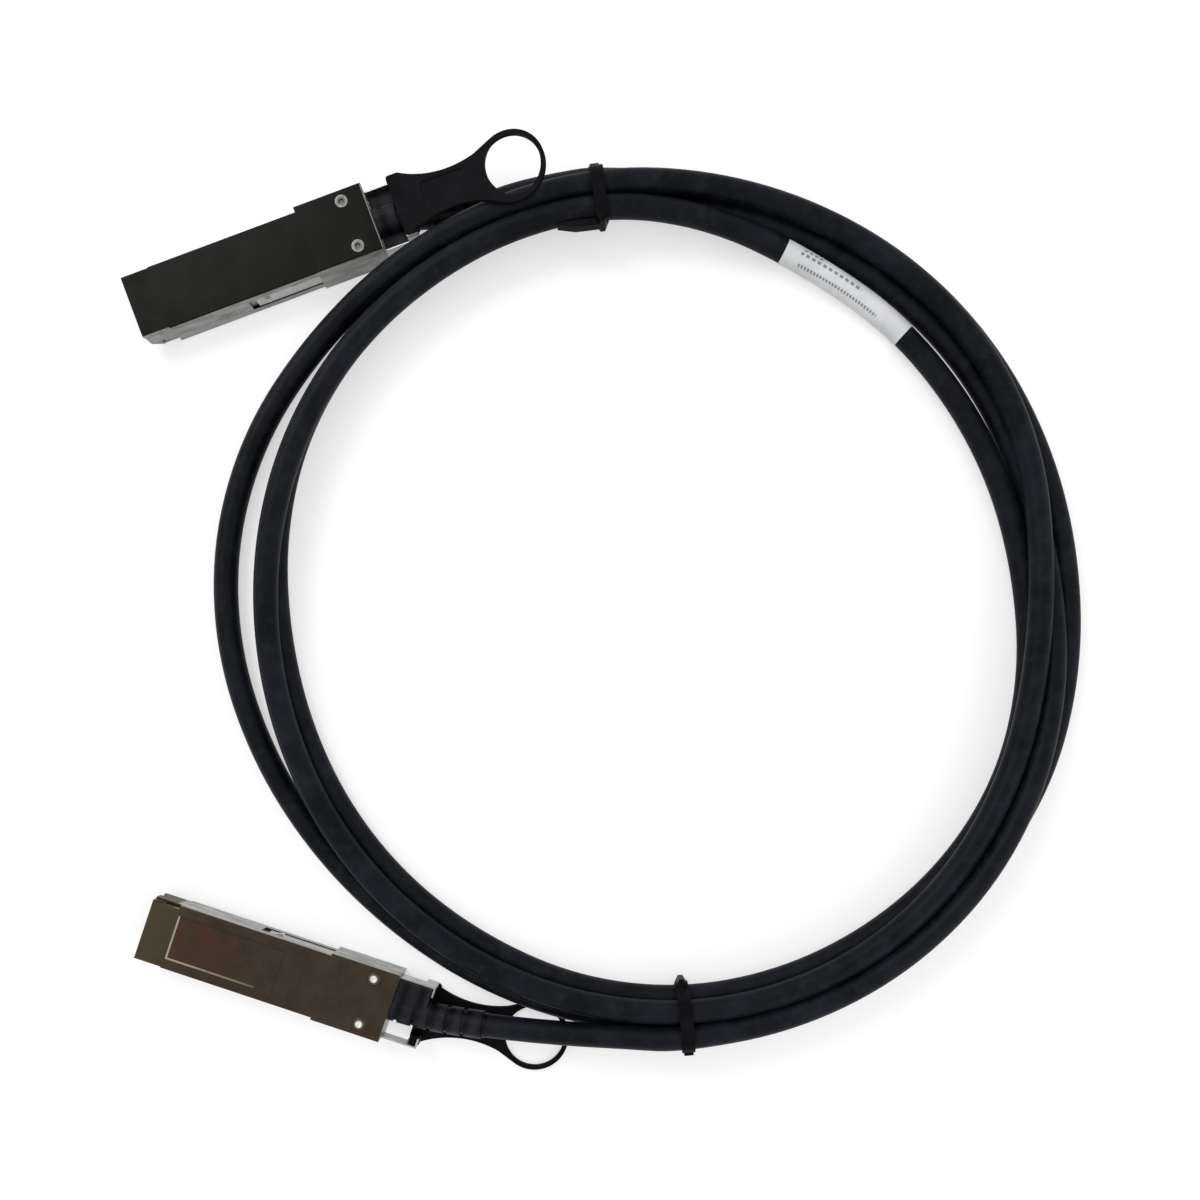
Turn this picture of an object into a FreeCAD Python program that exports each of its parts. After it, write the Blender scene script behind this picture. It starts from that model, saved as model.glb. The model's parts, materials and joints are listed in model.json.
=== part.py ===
"""Direct attach copper cable: two pluggable metal connector modules with sprung latch
sleds and pull tabs, joined by one round cable that is wound in a coil and tied twice.

Millimetres, +Z up. The origin is the bottom centre of the whole part's box.
Each plug is built in its own frame: x runs back from the nose, z = 0 is its flat face.
"""
import FreeCAD, Part
import math
import os

from FreeCAD import Placement, Rotation, Vector

# ---------------------------------------------------------------- plug shells
CAGE_LENGTH = 52.4          # the part of the plug that goes into the socket cage
GRIP_LENGTH = 20.0          # the part that stays outside
PLUG_WIDTH = 18.35
PLUG_HEIGHT = 8.5
GRIP_SIDE_STEP = 0.62       # how far the grip block stands proud on each side
GRIP_TOP_STEP = 1.4
PARTING_HEIGHT = 5.0        # where the two shells meet
FLOOR = 1.0
ROOF = 1.0
EDGE_BREAK = 0.35
NOSE_LENGTH = 8.0
NOSE_SIDE_STEP = 0.35
KEY_NOTCH_DEPTH = 1.1
NOSE_CHAMFER_LENGTH = 3.4   # under the mouth
NOSE_CHAMFER_HEIGHT = 2.3
NOSE_BEVEL_LENGTH = 6.6     # on the flanks
NOSE_BEVEL_HEIGHT = 7.4
NOSE_BEVEL_DEPTH = 0.86
FRONT_CAVITY_END = 31.0
FRONT_WALL = 0.875          # side walls of the front cavity
REAR_WALL_SIDE = 2.775      # side walls behind it, under the latch
FERRULE_BAY_LENGTH = 13.2   # in front of the rear wall
FERRULE_BAY_HALF = 4.6
REAR_WALL = 3.2
RECESS_START = 8.5          # shallow label field in the flat face
RECESS_LENGTH = 31.5
RECESS_WIDTH = 12.6
RECESS_DEPTH = 0.3
RECESS_SLOPE = 1.3          # run of its sloped walls for each unit of depth
LEDGE_WIDTH = 1.1           # ledges that clamp the card
LEDGE_START = 9.0

# ---------------------------------------------------------------- latch sled
SLED_SHEET = 0.45
SLED_HEIGHT = 4.0
SLED_BOTTOM = 2.3
SLED_PLAY = 0.1
CHANNEL_DEPTH = 0.755       # of the side channels in the walls
CHANNEL_START = 31.0
SLED_START = 33.0
SLED_OVERHANG = 10.4        # how far the sled reaches behind the grip block
HOOK_START = 34.5
HOOK_LENGTH = 2.8
HOOK_HEIGHT = 2.0
HOOK_PROUD = 0.62
CATCH_START = 40.2          # pockets for the cage's spring leaves
CATCH_LENGTH = 3.4
CATCH_DEPTH = 0.5
LATCH_TRAVEL = 2.2
SPRING_SEAT = 44.2          # front end of the spring pockets
SPRING_LENGTH = 8.6
SPRING_RADIUS = 0.66
SPRING_STRIP = 0.14
SPRING_FOLDS = 8
BRIDGE_LENGTH = 3.3

# ---------------------------------------------------------------- pull tab
TAB_THICK = 1.15
TAB_GAP = 0.12              # clear of the boot below it
TAB_START = 7.0             # behind the grip block
TAB_BLOCK_LENGTH = 4.4
TAB_SIDE_INSET = 0.27       # inside the latch arms' outer faces
TAB_WAIST_HALF = 5.4
TAB_FLARE_HALF = 6.6
TAB_WAIST = 14.0            # from the start of the strap
TAB_FLARE = 22.4
RING_CENTRE = 31.6
RING_INNER = 8.5
RING_WALL = 1.3
TAB_BEND_A = (-7.5, 10.6)   # how the flexible strap lies: yaw and pitch, degrees
TAB_BEND_B = (-5.8, 0.0)
PANEL_DEPTH = 0.2

# ---------------------------------------------------------------- card
CARD_SIDE_PLAY = 0.09
CARD_THICK = 1.0
CARD_START = 1.6
CARD_LENGTH = 28.4
CARD_MIDDLE = 4.25
PAD_MARGIN = 1.01           # from the middle of the outer pads to the card's sides
PADS_PER_SIDE = 19
PAD_WIDTH = 0.54
PAD_LENGTH = 3.6
PAD_THICK = 0.06
PAD_SETBACK = 0.5

# ---------------------------------------------------------------- cable end
CABLE_DIAMETER = 6.65
CABLE_AXIS = 4.5            # height of the cable's axis in the plug
FERRULE_LENGTH = 9.0
FERRULE_WALL = 0.36
BORE_PLAY = 0.05
CABLE_INSIDE = 14.4         # how far the jacket reaches into the plug
PAIR_RADIUS = 0.62
BOOT_SEGMENTS = 5
BOOT_PITCH = 4.75
BOOT_FIRST = 2.65           # the short segment against the plug
BOOT_LAST = 1.3             # how much longer the last segment is
BOOT_RADIUS_FRONT = 4.1
BOOT_RADIUS_BACK = 3.88
BOOT_GROOVE = 0.43
BOOT_GROOVE_WIDTH = 1.15
BOOT_SLOT_HALF = 2.1
EAR_LENGTH = 1.6
EAR_HALF = 5.3
RIVET_FROM_BACK = 6.7
RIVET_INSET = 2.525         # from the side of the plug
RIVET_HEAD = 1.85
RIVET_SHANK = 0.95
RIVET_SINK = 0.4

# ---------------------------------------------------------------- placing
PLUG_A_NOSE = Vector(-132.85, 85.9, 0.0)
PLUG_A_YAW = 20.45
PLUG_B_NOSE = Vector(-128.95, -88.0, 0.0)
PLUG_B_YAW = -18.4

# ---------------------------------------------------------------- coil
COIL_CENTRE = Vector(12.5, 2.2, 0.0)
LOW = 3.35                  # height of a turn that lies on the table
HIGH = 9.1                  # height of a turn that lies in the groove of two others
TIE_TOP_ANGLE = 97.0
TIE_BOTTOM_ANGLE = -85.0
LABEL_START_ANGLE = 68.5
LABEL_END_ANGLE = 47.5
LABEL_RUNS = 4
LABEL_PLAY = 0.1
LABEL_THICK = 0.2
COIL_SECTIONS = 48
TIE_WIDTH = 3.6
TIE_THICK = 1.05
TIE_PLAY = 0.1
TIE_LIFT_SPREAD = 42.0      # the strap under the bundle lifts it over this angle each way
TIE_KNOT = (2.3, 4.2, 5.6)  # how far it stands inward, its width and height
TIE_BUMP = 1.2              # where the strap is doubled, on the outside
TIE_TAIL = (12.6, 1.9, 3.0)  # length, thickness and height of the folded end

# How the turns lie: angle round the coil (degrees, falling as the cable runs on),
# radius of the turn and height of its middle. Four passes of one cable.
LAY = [
    (97, 121.6, LOW), (75, 120.9, LOW), (55, 121.4, LOW), (35, 120.6, LOW), (15, 119.7, LOW),
    (0, 119.9, LOW), (-15, 121.4, LOW), (-27, 122.0, LOW), (-40, 121.0, LOW), (-60, 119.4, LOW),
    (-83, 118.1, LOW), (-100, 116.5, LOW), (-115, 115.1, LOW), (-135, 114.3, LOW),
    (-160, 117.2, LOW), (-180, 120.8, LOW), (-200, 122.0, LOW), (-220, 120.3, 3.9),
    (-230, 119.4, 6.5), (-240, 118.1, 8.8), (-263, 118.5, HIGH),
    (-285, 117.9, HIGH), (-305, 118.1, HIGH), (-325, 117.0, HIGH), (-335, 114.9, 9.9),
    (-345, 111.9, 10.2), (-360, 108.6, 10.2), (-375, 109.6, 10.0), (-395, 112.9, 9.8),
    (-420, 115.1, 9.6), (-443, 114.2, 9.5), (-460, 112.6, HIGH), (-475, 111.0, 9.0),
    (-495, 109.2, 9.0), (-520, 107.2, 9.5), (-540, 107.0, 9.9), (-560, 108.6, 9.9),
    (-580, 110.3, 9.8), (-600, 111.3, 9.4), (-612, 111.9, HIGH), (-623, 111.9, 9.2),
    (-631, 111.3, 9.4), (-640, 109.5, 7.8), (-648, 107.9, 5.2), (-656, 107.3, 4.0),
    (-668, 106.8, 3.8), (-688, 106.0, 3.6), (-705, 106.7, LOW), (-720, 108.0, LOW),
    (-732, 110.9, LOW), (-745, 113.0, LOW), (-760, 113.6, LOW), (-780, 112.8, LOW),
    (-803, 111.5, LOW), (-820, 109.6, LOW), (-835, 107.1, LOW), (-855, 105.4, LOW),
    (-880, 104.3, LOW), (-900, 105.7, LOW), (-920, 110.2, LOW), (-940, 113.2, LOW),
    (-960, 114.1, LOW), (-972, 114.9, LOW), (-983, 115.1, LOW), (-1005, 114.5, LOW),
    (-1025, 114.7, LOW), (-1045, 114.0, LOW), (-1065, 113.2, 3.6), (-1080, 114.0, 6.1),
    (-1095, 116.8, 8.1), (-1105, 118.3, 9.4), (-1118, 120.4, 9.9), (-1140, 121.7, 9.4),
    (-1163, 120.8, 9.5), (-1176, 120.8, 9.4),
]
COIL_STARTS_AT = 97.0
COIL_ENDS_AT = -1166.0

# Free lengths of the route, from each plug to the coil (points chosen by hand).
LEAD_A = [Vector(-40.3, 113.9, 4.2), Vector(-26.0, 119.8, 4.35), Vector(-8.8, 123.2, 4.5)]
LEAD_B = [Vector(6.7, -118.5, 10.2), Vector(-12.3, -117.8, 9.0), Vector(-31.8, -116.5, 6.8)]

# ---------------------------------------------------------------- worked out
PLUG_LENGTH = CAGE_LENGTH + GRIP_LENGTH
GRIP_HEIGHT = PLUG_HEIGHT + GRIP_TOP_STEP
HALF_WIDTH = PLUG_WIDTH / 2
FRONT_CAVITY_HALF = HALF_WIDTH - FRONT_WALL
REAR_CAVITY_HALF = HALF_WIDTH - REAR_WALL_SIDE
CHANNEL_FLOOR_Y = HALF_WIDTH - CHANNEL_DEPTH
RIVET_Y = HALF_WIDTH - RIVET_INSET
CARD_WIDTH = 2 * (FRONT_CAVITY_HALF - CARD_SIDE_PLAY)
PAD_PITCH = (CARD_WIDTH - 2 * PAD_MARGIN) / (PADS_PER_SIDE - 1)
GRIP_HALF = HALF_WIDTH + GRIP_SIDE_STEP
CABLE_RADIUS = CABLE_DIAMETER / 2
TIE_LIFT = TIE_THICK + TIE_PLAY + 0.02
REAR_WALL_FRONT = PLUG_LENGTH - REAR_WALL
FERRULE_BAY_START = REAR_WALL_FRONT - FERRULE_BAY_LENGTH
CABLE_START = PLUG_LENGTH - CABLE_INSIDE
BOOT_MIDDLE = PLUG_LENGTH + 9.6     # where the route first turns, on the plug's own axis
CHANNEL_BOTTOM = SLED_BOTTOM - 0.12
CHANNEL_TOP = SLED_BOTTOM + SLED_HEIGHT + 0.12
SLED_INNER_Y = CHANNEL_FLOOR_Y + SLED_PLAY
SLED_OUTER_Y = SLED_INNER_Y + SLED_SHEET
CHANNEL_OUTER_Y = SLED_OUTER_Y + SLED_PLAY
TAB_BASE_HALF = SLED_OUTER_Y - TAB_SIDE_INSET
SLED_END = PLUG_LENGTH + SLED_OVERHANG
TAB_BOTTOM = CABLE_AXIS + BOOT_RADIUS_FRONT + TAB_GAP
TAB_TOP = TAB_BOTTOM + TAB_THICK
BRIDGE_BOTTOM = TAB_BOTTOM + (TAB_THICK - SLED_SHEET) / 2
TAB_BLOCK_START = PLUG_LENGTH + TAB_START
STRAP_START = TAB_BLOCK_START + 2.8
CARD_BOTTOM = CARD_MIDDLE - CARD_THICK / 2
CARD_TOP = CARD_MIDDLE + CARD_THICK / 2
FERRULE_RADIUS = CABLE_RADIUS + BORE_PLAY + FERRULE_WALL
FERRULE_START = CABLE_START - 1.0
RIVET_X = PLUG_LENGTH - RIVET_FROM_BACK
GRIP_BASE_Z = GRIP_HEIGHT   # plug B lies upside down on the grip block's top


def box(x0, x1, y0, y1, z0, z1):
    """Box between two corners."""
    return Part.makeBox(x1 - x0, y1 - y0, z1 - z0, Vector(x0, y0, z0))


def both_sides(shape):
    """The shape and its mirror image on the other side of the plug."""
    return [shape, shape.mirror(Vector(0, 0, 0), Vector(0, 1, 0))]


def cylinder_x(x0, x1, radius, z=CABLE_AXIS, y=0.0):
    return Part.makeCylinder(radius, x1 - x0, Vector(x0, y, z), Vector(1, 0, 0))


def cylinder_z(x, y, z0, z1, radius):
    return Part.makeCylinder(radius, z1 - z0, Vector(x, y, z0), Vector(0, 0, 1))


def prism(points, height_vector):
    """Straight-sided solid on a closed outline."""
    wire = Part.makePolygon(points + [points[0]])
    return Part.Face(wire).extrude(height_vector)


def cut_all(shape, tools):
    for tool in tools:
        shape = shape.cut(tool)
    return shape


def fuse_all(shapes):
    return shapes[0].multiFuse(shapes[1:]).removeSplitter()


# ---------------------------------------------------------------- shells
def latch_cuts():
    """Side channels, catch pockets and spring pockets, cut from both shells alike."""
    open_channel = box(CHANNEL_START, CAGE_LENGTH, CHANNEL_FLOOR_Y, HALF_WIDTH + 1,
                       CHANNEL_BOTTOM, CHANNEL_TOP)
    closed_channel = box(CAGE_LENGTH - 1, PLUG_LENGTH + 1, CHANNEL_FLOOR_Y, CHANNEL_OUTER_Y,
                         CHANNEL_BOTTOM, CHANNEL_TOP)
    catch = box(CATCH_START, CATCH_START + CATCH_LENGTH, CHANNEL_FLOOR_Y - CATCH_DEPTH,
                CHANNEL_FLOOR_Y + 0.1, CHANNEL_BOTTOM + 0.5, CHANNEL_TOP - 0.5)
    pocket = box(SPRING_SEAT - 0.3, SPRING_SEAT + SLED_SHEET + SPRING_LENGTH,
                 CHANNEL_FLOOR_Y - 2 * SPRING_RADIUS - 0.2, CHANNEL_FLOOR_Y + 0.1,
                 CABLE_AXIS - SPRING_RADIUS - 0.15, CABLE_AXIS + SPRING_RADIUS + 0.15)
    return [part for cut in (open_channel, closed_channel, catch, pocket)
            for part in both_sides(cut)]


def inner_cuts(z_low, z_high, z_high_grip):
    """The hollow inside, from the mouth to the rear wall."""
    return [
        box(-1, FRONT_CAVITY_END, -FRONT_CAVITY_HALF, FRONT_CAVITY_HALF, z_low, z_high),
        box(FRONT_CAVITY_END - 1, FERRULE_BAY_START, -REAR_CAVITY_HALF, REAR_CAVITY_HALF,
            z_low, z_high),
        box(FERRULE_BAY_START - 1, REAR_WALL_FRONT, -FERRULE_BAY_HALF, FERRULE_BAY_HALF,
            z_low, z_high_grip),
    ]


def cable_end_cuts():
    """Bore in the rear wall, trough for the ferrule and slot for the boot's ears."""
    ear_x = REAR_WALL_FRONT - EAR_LENGTH
    return [
        cylinder_x(REAR_WALL_FRONT - 0.5, PLUG_LENGTH + 1, BOOT_RADIUS_FRONT - 0.1),
        cylinder_x(FERRULE_BAY_START, REAR_WALL_FRONT, FERRULE_RADIUS + 0.04),
        box(ear_x - 0.05, REAR_WALL_FRONT, -EAR_HALF - 0.05, EAR_HALF + 0.05,
            CABLE_AXIS - BOOT_RADIUS_FRONT + 0.1, CABLE_AXIS + BOOT_RADIUS_FRONT - 0.1),
    ]


def rivet_cuts():
    """Through holes with a sunk seat for each rivet head."""
    hole = cylinder_z(RIVET_X, RIVET_Y, -1, GRIP_HEIGHT + 1, RIVET_SHANK)
    seat_low = cylinder_z(RIVET_X, RIVET_Y, -1, RIVET_SINK, RIVET_HEAD + 0.08)
    seat_high = cylinder_z(RIVET_X, RIVET_Y, GRIP_HEIGHT - RIVET_SINK, GRIP_HEIGHT + 1,
                           RIVET_HEAD + 0.08)
    return [part for cut in (hole, seat_low, seat_high) for part in both_sides(cut)]


def nose_cuts():
    """The nose is a little narrower and has a coding notch on one side."""
    side = box(-1, NOSE_LENGTH, HALF_WIDTH - NOSE_SIDE_STEP, HALF_WIDTH + 1, -1, PLUG_HEIGHT + 1)
    notch = box(3.2, NOSE_LENGTH, -HALF_WIDTH - 1, -HALF_WIDTH + KEY_NOTCH_DEPTH, -1, 2.4)
    step = box(2.4, 6.4, HALF_WIDTH - KEY_NOTCH_DEPTH / 2, HALF_WIDTH + 1, -1, 1.6)
    under = prism([Vector(-0.1, -HALF_WIDTH - 1, z) for z in (NOSE_CHAMFER_HEIGHT, -0.1)]
                  + [Vector(NOSE_CHAMFER_LENGTH, -HALF_WIDTH - 1, -0.1)],
                  Vector(0, PLUG_WIDTH + 2, 0))
    flank = prism([Vector(-0.1, HALF_WIDTH - NOSE_BEVEL_DEPTH, z) for z in (NOSE_BEVEL_HEIGHT, -0.1)]
                  + [Vector(NOSE_BEVEL_LENGTH, HALF_WIDTH - NOSE_BEVEL_DEPTH, -0.1)],
                  Vector(0, 2, 0))
    return both_sides(side) + both_sides(flank) + [notch, step, under]


def card_ledges(z0, z1):
    ledge = box(LEDGE_START, CARD_START + CARD_LENGTH, FRONT_CAVITY_HALF - LEDGE_WIDTH,
                FRONT_CAVITY_HALF, z0, z1)
    return both_sides(ledge)


def soften(shape, keep):
    """Rounds the long outer edges that the test picks."""
    edges = [edge for edge in shape.Edges if keep(edge)]
    return shape.makeFillet(EDGE_BREAK, edges) if edges else shape


def label_recess():
    """Shallow field with sloped walls, to be cut from the flat face."""
    def bevelled(start, end, across, along):
        """Prism whose section narrows towards the field's floor."""
        low, high = -1.0, RECESS_DEPTH
        corners = [(start + low * RECESS_SLOPE, low), (end - low * RECESS_SLOPE, low),
                   (end - high * RECESS_SLOPE, high), (start + high * RECESS_SLOPE, high)]
        return prism([across * value + Vector(0, 0, z) for value, z in corners], along)

    end = RECESS_START + RECESS_LENGTH
    half = RECESS_WIDTH / 2
    lengthwise = bevelled(RECESS_START, end, Vector(1, 0, 0), Vector(0, 2 * PLUG_WIDTH, 0))
    lengthwise.translate(Vector(0, -PLUG_WIDTH, 0))
    return lengthwise.common(bevelled(-half, half, Vector(0, 1, 0), Vector(PLUG_LENGTH, 0, 0)))


def lower_shell():
    cage = box(0, PLUG_LENGTH, -HALF_WIDTH, HALF_WIDTH, 0, PARTING_HEIGHT)
    grip = box(CAGE_LENGTH, PLUG_LENGTH, -GRIP_HALF, GRIP_HALF, 0, PARTING_HEIGHT)
    body = fuse_all([cage, grip])
    body = soften(body, lambda e: e.BoundBox.ZMax < 0.01 and e.BoundBox.YLength < 0.01)
    recess = label_recess()
    cuts = inner_cuts(FLOOR, PARTING_HEIGHT + 1, PARTING_HEIGHT + 1)
    cuts += latch_cuts() + cable_end_cuts() + rivet_cuts() + nose_cuts() + [recess]
    body = cut_all(body, cuts)
    return fuse_all([body] + card_ledges(FLOOR - 0.2, CARD_BOTTOM))


def upper_shell():
    cage = box(0, PLUG_LENGTH, -HALF_WIDTH, HALF_WIDTH, PARTING_HEIGHT, PLUG_HEIGHT)
    grip = box(CAGE_LENGTH, PLUG_LENGTH, -GRIP_HALF, GRIP_HALF, PARTING_HEIGHT, GRIP_HEIGHT)
    body = fuse_all([cage, grip])
    body = soften(body, lambda e: e.BoundBox.ZMin > PLUG_HEIGHT - 0.01
                  and (e.BoundBox.YLength < 0.01 or e.BoundBox.ZMin > GRIP_HEIGHT - 0.01))
    cuts = inner_cuts(PARTING_HEIGHT - 1, PLUG_HEIGHT - ROOF, GRIP_HEIGHT - ROOF)
    cuts += latch_cuts() + cable_end_cuts() + rivet_cuts() + nose_cuts()
    body = cut_all(body, cuts)
    return fuse_all([body] + card_ledges(CARD_TOP, PLUG_HEIGHT - ROOF + 0.2))


def shell_rivets():
    """Two tubular rivets with flat sunk heads and a dimple in each end."""
    seat = RIVET_SINK - 0.05
    shank = cylinder_z(RIVET_X, RIVET_Y, 0.1, GRIP_HEIGHT - 0.1, RIVET_SHANK - 0.03)
    low = cylinder_z(RIVET_X, RIVET_Y, RIVET_SINK - seat, RIVET_SINK, RIVET_HEAD)
    high = cylinder_z(RIVET_X, RIVET_Y, GRIP_HEIGHT - RIVET_SINK,
                      GRIP_HEIGHT - RIVET_SINK + seat, RIVET_HEAD)
    rivet = fuse_all([shank, low, high])
    dimples = [cylinder_z(RIVET_X, RIVET_Y, -1, 0.5, RIVET_SHANK * 0.7),
               cylinder_z(RIVET_X, RIVET_Y, GRIP_HEIGHT - 0.5, GRIP_HEIGHT + 1,
                          RIVET_SHANK * 0.7)]
    return Part.makeCompound(both_sides(cut_all(rivet, dimples)))


# ---------------------------------------------------------------- latch
def latch_slide():
    """One stamped sheet: two side arms with hooks, spring tongues and a rear bridge."""
    arm_top = SLED_BOTTOM + SLED_HEIGHT
    arm = box(SLED_START, SLED_END, SLED_INNER_Y, SLED_OUTER_Y, SLED_BOTTOM, arm_top)
    riser = box(SLED_END - BRIDGE_LENGTH, SLED_END, SLED_INNER_Y, SLED_OUTER_Y, SLED_BOTTOM,
                BRIDGE_BOTTOM + SLED_SHEET)
    hook_z = SLED_BOTTOM + (SLED_HEIGHT - HOOK_HEIGHT) / 2
    hook = prism([Vector(HOOK_START, SLED_OUTER_Y - 0.05, hook_z),
                  Vector(HOOK_START + HOOK_LENGTH, SLED_OUTER_Y - 0.05, hook_z),
                  Vector(HOOK_START + HOOK_LENGTH * 0.8, SLED_OUTER_Y + HOOK_PROUD, hook_z)],
                 Vector(0, 0, HOOK_HEIGHT))
    tongue = box(SPRING_SEAT, SPRING_SEAT + SLED_SHEET, CHANNEL_FLOOR_Y - 2 * SPRING_RADIUS,
                 SLED_INNER_Y + 0.1, CABLE_AXIS - SPRING_RADIUS, CABLE_AXIS + SPRING_RADIUS)
    flange = box(SLED_END - SLED_SHEET, SLED_END, SLED_INNER_Y - 2.4, SLED_INNER_Y + 0.1,
                 SLED_BOTTOM, arm_top)
    bridge = box(SLED_END - BRIDGE_LENGTH, SLED_END, -SLED_OUTER_Y, SLED_OUTER_Y,
                 BRIDGE_BOTTOM, BRIDGE_BOTTOM + SLED_SHEET)
    pieces = [bridge]
    for piece in (arm, riser, hook, tongue, flange):
        pieces += both_sides(piece)
    return fuse_all(pieces)


def latch_springs():
    """A folded strip spring in each side pocket, from the sled's tongue to the shell."""
    start = SPRING_SEAT + SLED_SHEET + 0.02
    pitch = (SPRING_LENGTH - 0.04) / SPRING_FOLDS
    middle = CHANNEL_FLOOR_Y - SPRING_RADIUS - 0.08
    swing = SPRING_RADIUS - SPRING_STRIP
    near = [(start + index * pitch, middle + (swing if index % 2 else -swing) - SPRING_STRIP / 2)
            for index in range(SPRING_FOLDS + 1)]
    far = [(x, y + SPRING_STRIP) for x, y in reversed(near)]
    outline = [Vector(x, y, CABLE_AXIS - SPRING_RADIUS) for x, y in near + far]
    strip = Part.Face(Part.makePolygon(outline + [outline[0]]))
    return Part.makeCompound(both_sides(strip.extrude(Vector(0, 0, 2 * SPRING_RADIUS))))


def pull_tab(bend):
    """Block moulded over the bridge, waisted strap and finger ring."""
    yaw, pitch = bend
    block = box(TAB_BLOCK_START, TAB_BLOCK_START + TAB_BLOCK_LENGTH, -TAB_BASE_HALF,
                TAB_BASE_HALF, TAB_BOTTOM, TAB_TOP)
    corners = [e for e in block.Edges if e.BoundBox.ZLength > TAB_THICK - 0.01]
    block = block.makeFillet(1.0, corners)
    sides = both_sides(box(TAB_BLOCK_START + 0.6, TAB_BLOCK_START + TAB_BLOCK_LENGTH - 0.8,
                           SLED_INNER_Y - 2.1, SLED_INNER_Y, CABLE_AXIS, TAB_BOTTOM + 0.2))
    ring_outer = RING_INNER + RING_WALL
    touch = math.radians(115)
    touch_x = RING_CENTRE + ring_outer * math.cos(touch)
    touch_y = ring_outer * math.sin(touch)

    def side(sign):
        arc = Part.Arc(Vector(0, sign * TAB_BASE_HALF, 0),
                       Vector(TAB_WAIST * 0.55, sign * (TAB_WAIST_HALF + 0.5), 0),
                       Vector(TAB_FLARE, sign * TAB_FLARE_HALF, 0)).toShape()
        line = Part.LineSegment(Vector(TAB_FLARE, sign * TAB_FLARE_HALF, 0),
                                Vector(touch_x, sign * touch_y, 0)).toShape()
        return [arc, line]

    upper, lower = side(1), side(-1)
    far = Part.LineSegment(Vector(touch_x, touch_y, 0), Vector(touch_x, -touch_y, 0)).toShape()
    near = Part.LineSegment(Vector(0, -TAB_BASE_HALF, 0), Vector(0, TAB_BASE_HALF, 0)).toShape()
    outline = Part.Wire([upper[0], upper[1], far, lower[1], lower[0], near])
    strap = Part.Face(outline).extrude(Vector(0, 0, TAB_THICK))
    ring = Part.makeCylinder(ring_outer, TAB_THICK, Vector(RING_CENTRE, 0, 0))
    hole = Part.makeCylinder(RING_INNER, TAB_THICK + 2, Vector(RING_CENTRE, 0, -1))
    strap = fuse_all([strap, ring]).cut(hole)
    for z in (-1.0, TAB_THICK - PANEL_DEPTH):
        panel = box(TAB_WAIST * 0.4, TAB_FLARE - 4, -TAB_WAIST_HALF + 1.4, TAB_WAIST_HALF - 1.4,
                    z, z + 1.0 + PANEL_DEPTH)
        strap = strap.cut(panel.makeFillet(0.8, [e for e in panel.Edges
                                                 if e.BoundBox.ZLength > 1.0]))
    turn = Rotation(Vector(0, 0, 1), yaw).multiply(Rotation(Vector(0, 1, 0), -pitch))
    strap.Placement = Placement(Vector(STRAP_START, 0, TAB_BOTTOM), turn)
    tab = fuse_all([block, strap] + sides)
    return tab.cut(latch_slide())


# ---------------------------------------------------------------- card and wires
def paddle_card():
    card = box(CARD_START, CARD_START + CARD_LENGTH, -CARD_WIDTH / 2, CARD_WIDTH / 2,
               CARD_BOTTOM, CARD_TOP)
    front = [e for e in card.Edges if e.BoundBox.XMax < CARD_START + 0.01
             and e.BoundBox.YLength > 1]
    return card.makeChamfer(0.25, front)


def card_contacts():
    """Edge pads on both faces; the ground pads reach further forward."""
    pads = []
    for index in range(PADS_PER_SIDE):
        y = (index - (PADS_PER_SIDE - 1) / 2) * PAD_PITCH
        start = CARD_START + PAD_SETBACK + (0.0 if index % 3 == 0 else 0.6)
        end = CARD_START + PAD_SETBACK + PAD_LENGTH
        for z in (CARD_TOP, CARD_BOTTOM - PAD_THICK):
            pads.append(box(start, end, y - PAD_WIDTH / 2, y + PAD_WIDTH / 2, z, z + PAD_THICK))
    return Part.makeCompound(pads)


def card_chip():
    """Memory chip and a row of blocking capacitors."""
    chips = [box(17.0, 20.0, -1.5, 0.9, CARD_TOP, CARD_TOP + 0.85)]
    for index in range(4):
        y = (index - 1.5) * 3.0
        chips.append(box(11.2, 12.2, y - 0.3, y + 0.3, CARD_TOP, CARD_TOP + 0.4))
    return Part.makeCompound(chips)


def round_path(points, share=0.45):
    """Straight runs joined by tangent arcs; returns the wire, its length and the radii."""
    edges = []
    radii = []
    start = points[0]
    for before, corner, after in zip(points, points[1:], points[2:]):
        back = (before - corner)
        ahead = (after - corner)
        turn = math.pi - back.getAngle(ahead)
        reach = share * min(back.Length, ahead.Length)
        radii.append(reach / math.tan(turn / 2))
        back.normalize()
        ahead.normalize()
        p0 = corner + back * reach
        p2 = corner + ahead * reach
        middle = back + ahead
        middle.normalize()
        sink = radii[-1] * (1 / math.cos(turn / 2) - 1)
        p1 = corner + middle * sink
        edges.append(Part.LineSegment(start, p0).toShape())
        edges.append(Part.Arc(p0, p1, p2).toShape())
        start = p2
    edges.append(Part.LineSegment(start, points[-1]).toShape())
    wire = Part.Wire(edges)
    return wire, wire.Length, radii


def tube(points, radius, name=None):
    """Round rod along a path, with its volume checked against section times length."""
    wire, length, radii = round_path(points)
    heading = points[1] - points[0]
    section = Part.Wire(Part.makeCircle(radius, points[0], heading))
    solid = wire.makePipeShell([section], True, False)
    if name:
        ratio = solid.Volume / (math.pi * radius ** 2 * length)
        print(name, "length %.1f" % length, "volume ratio %.4f" % ratio, "radii",
              ["%.1f" % r for r in radii])
    return solid


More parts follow.
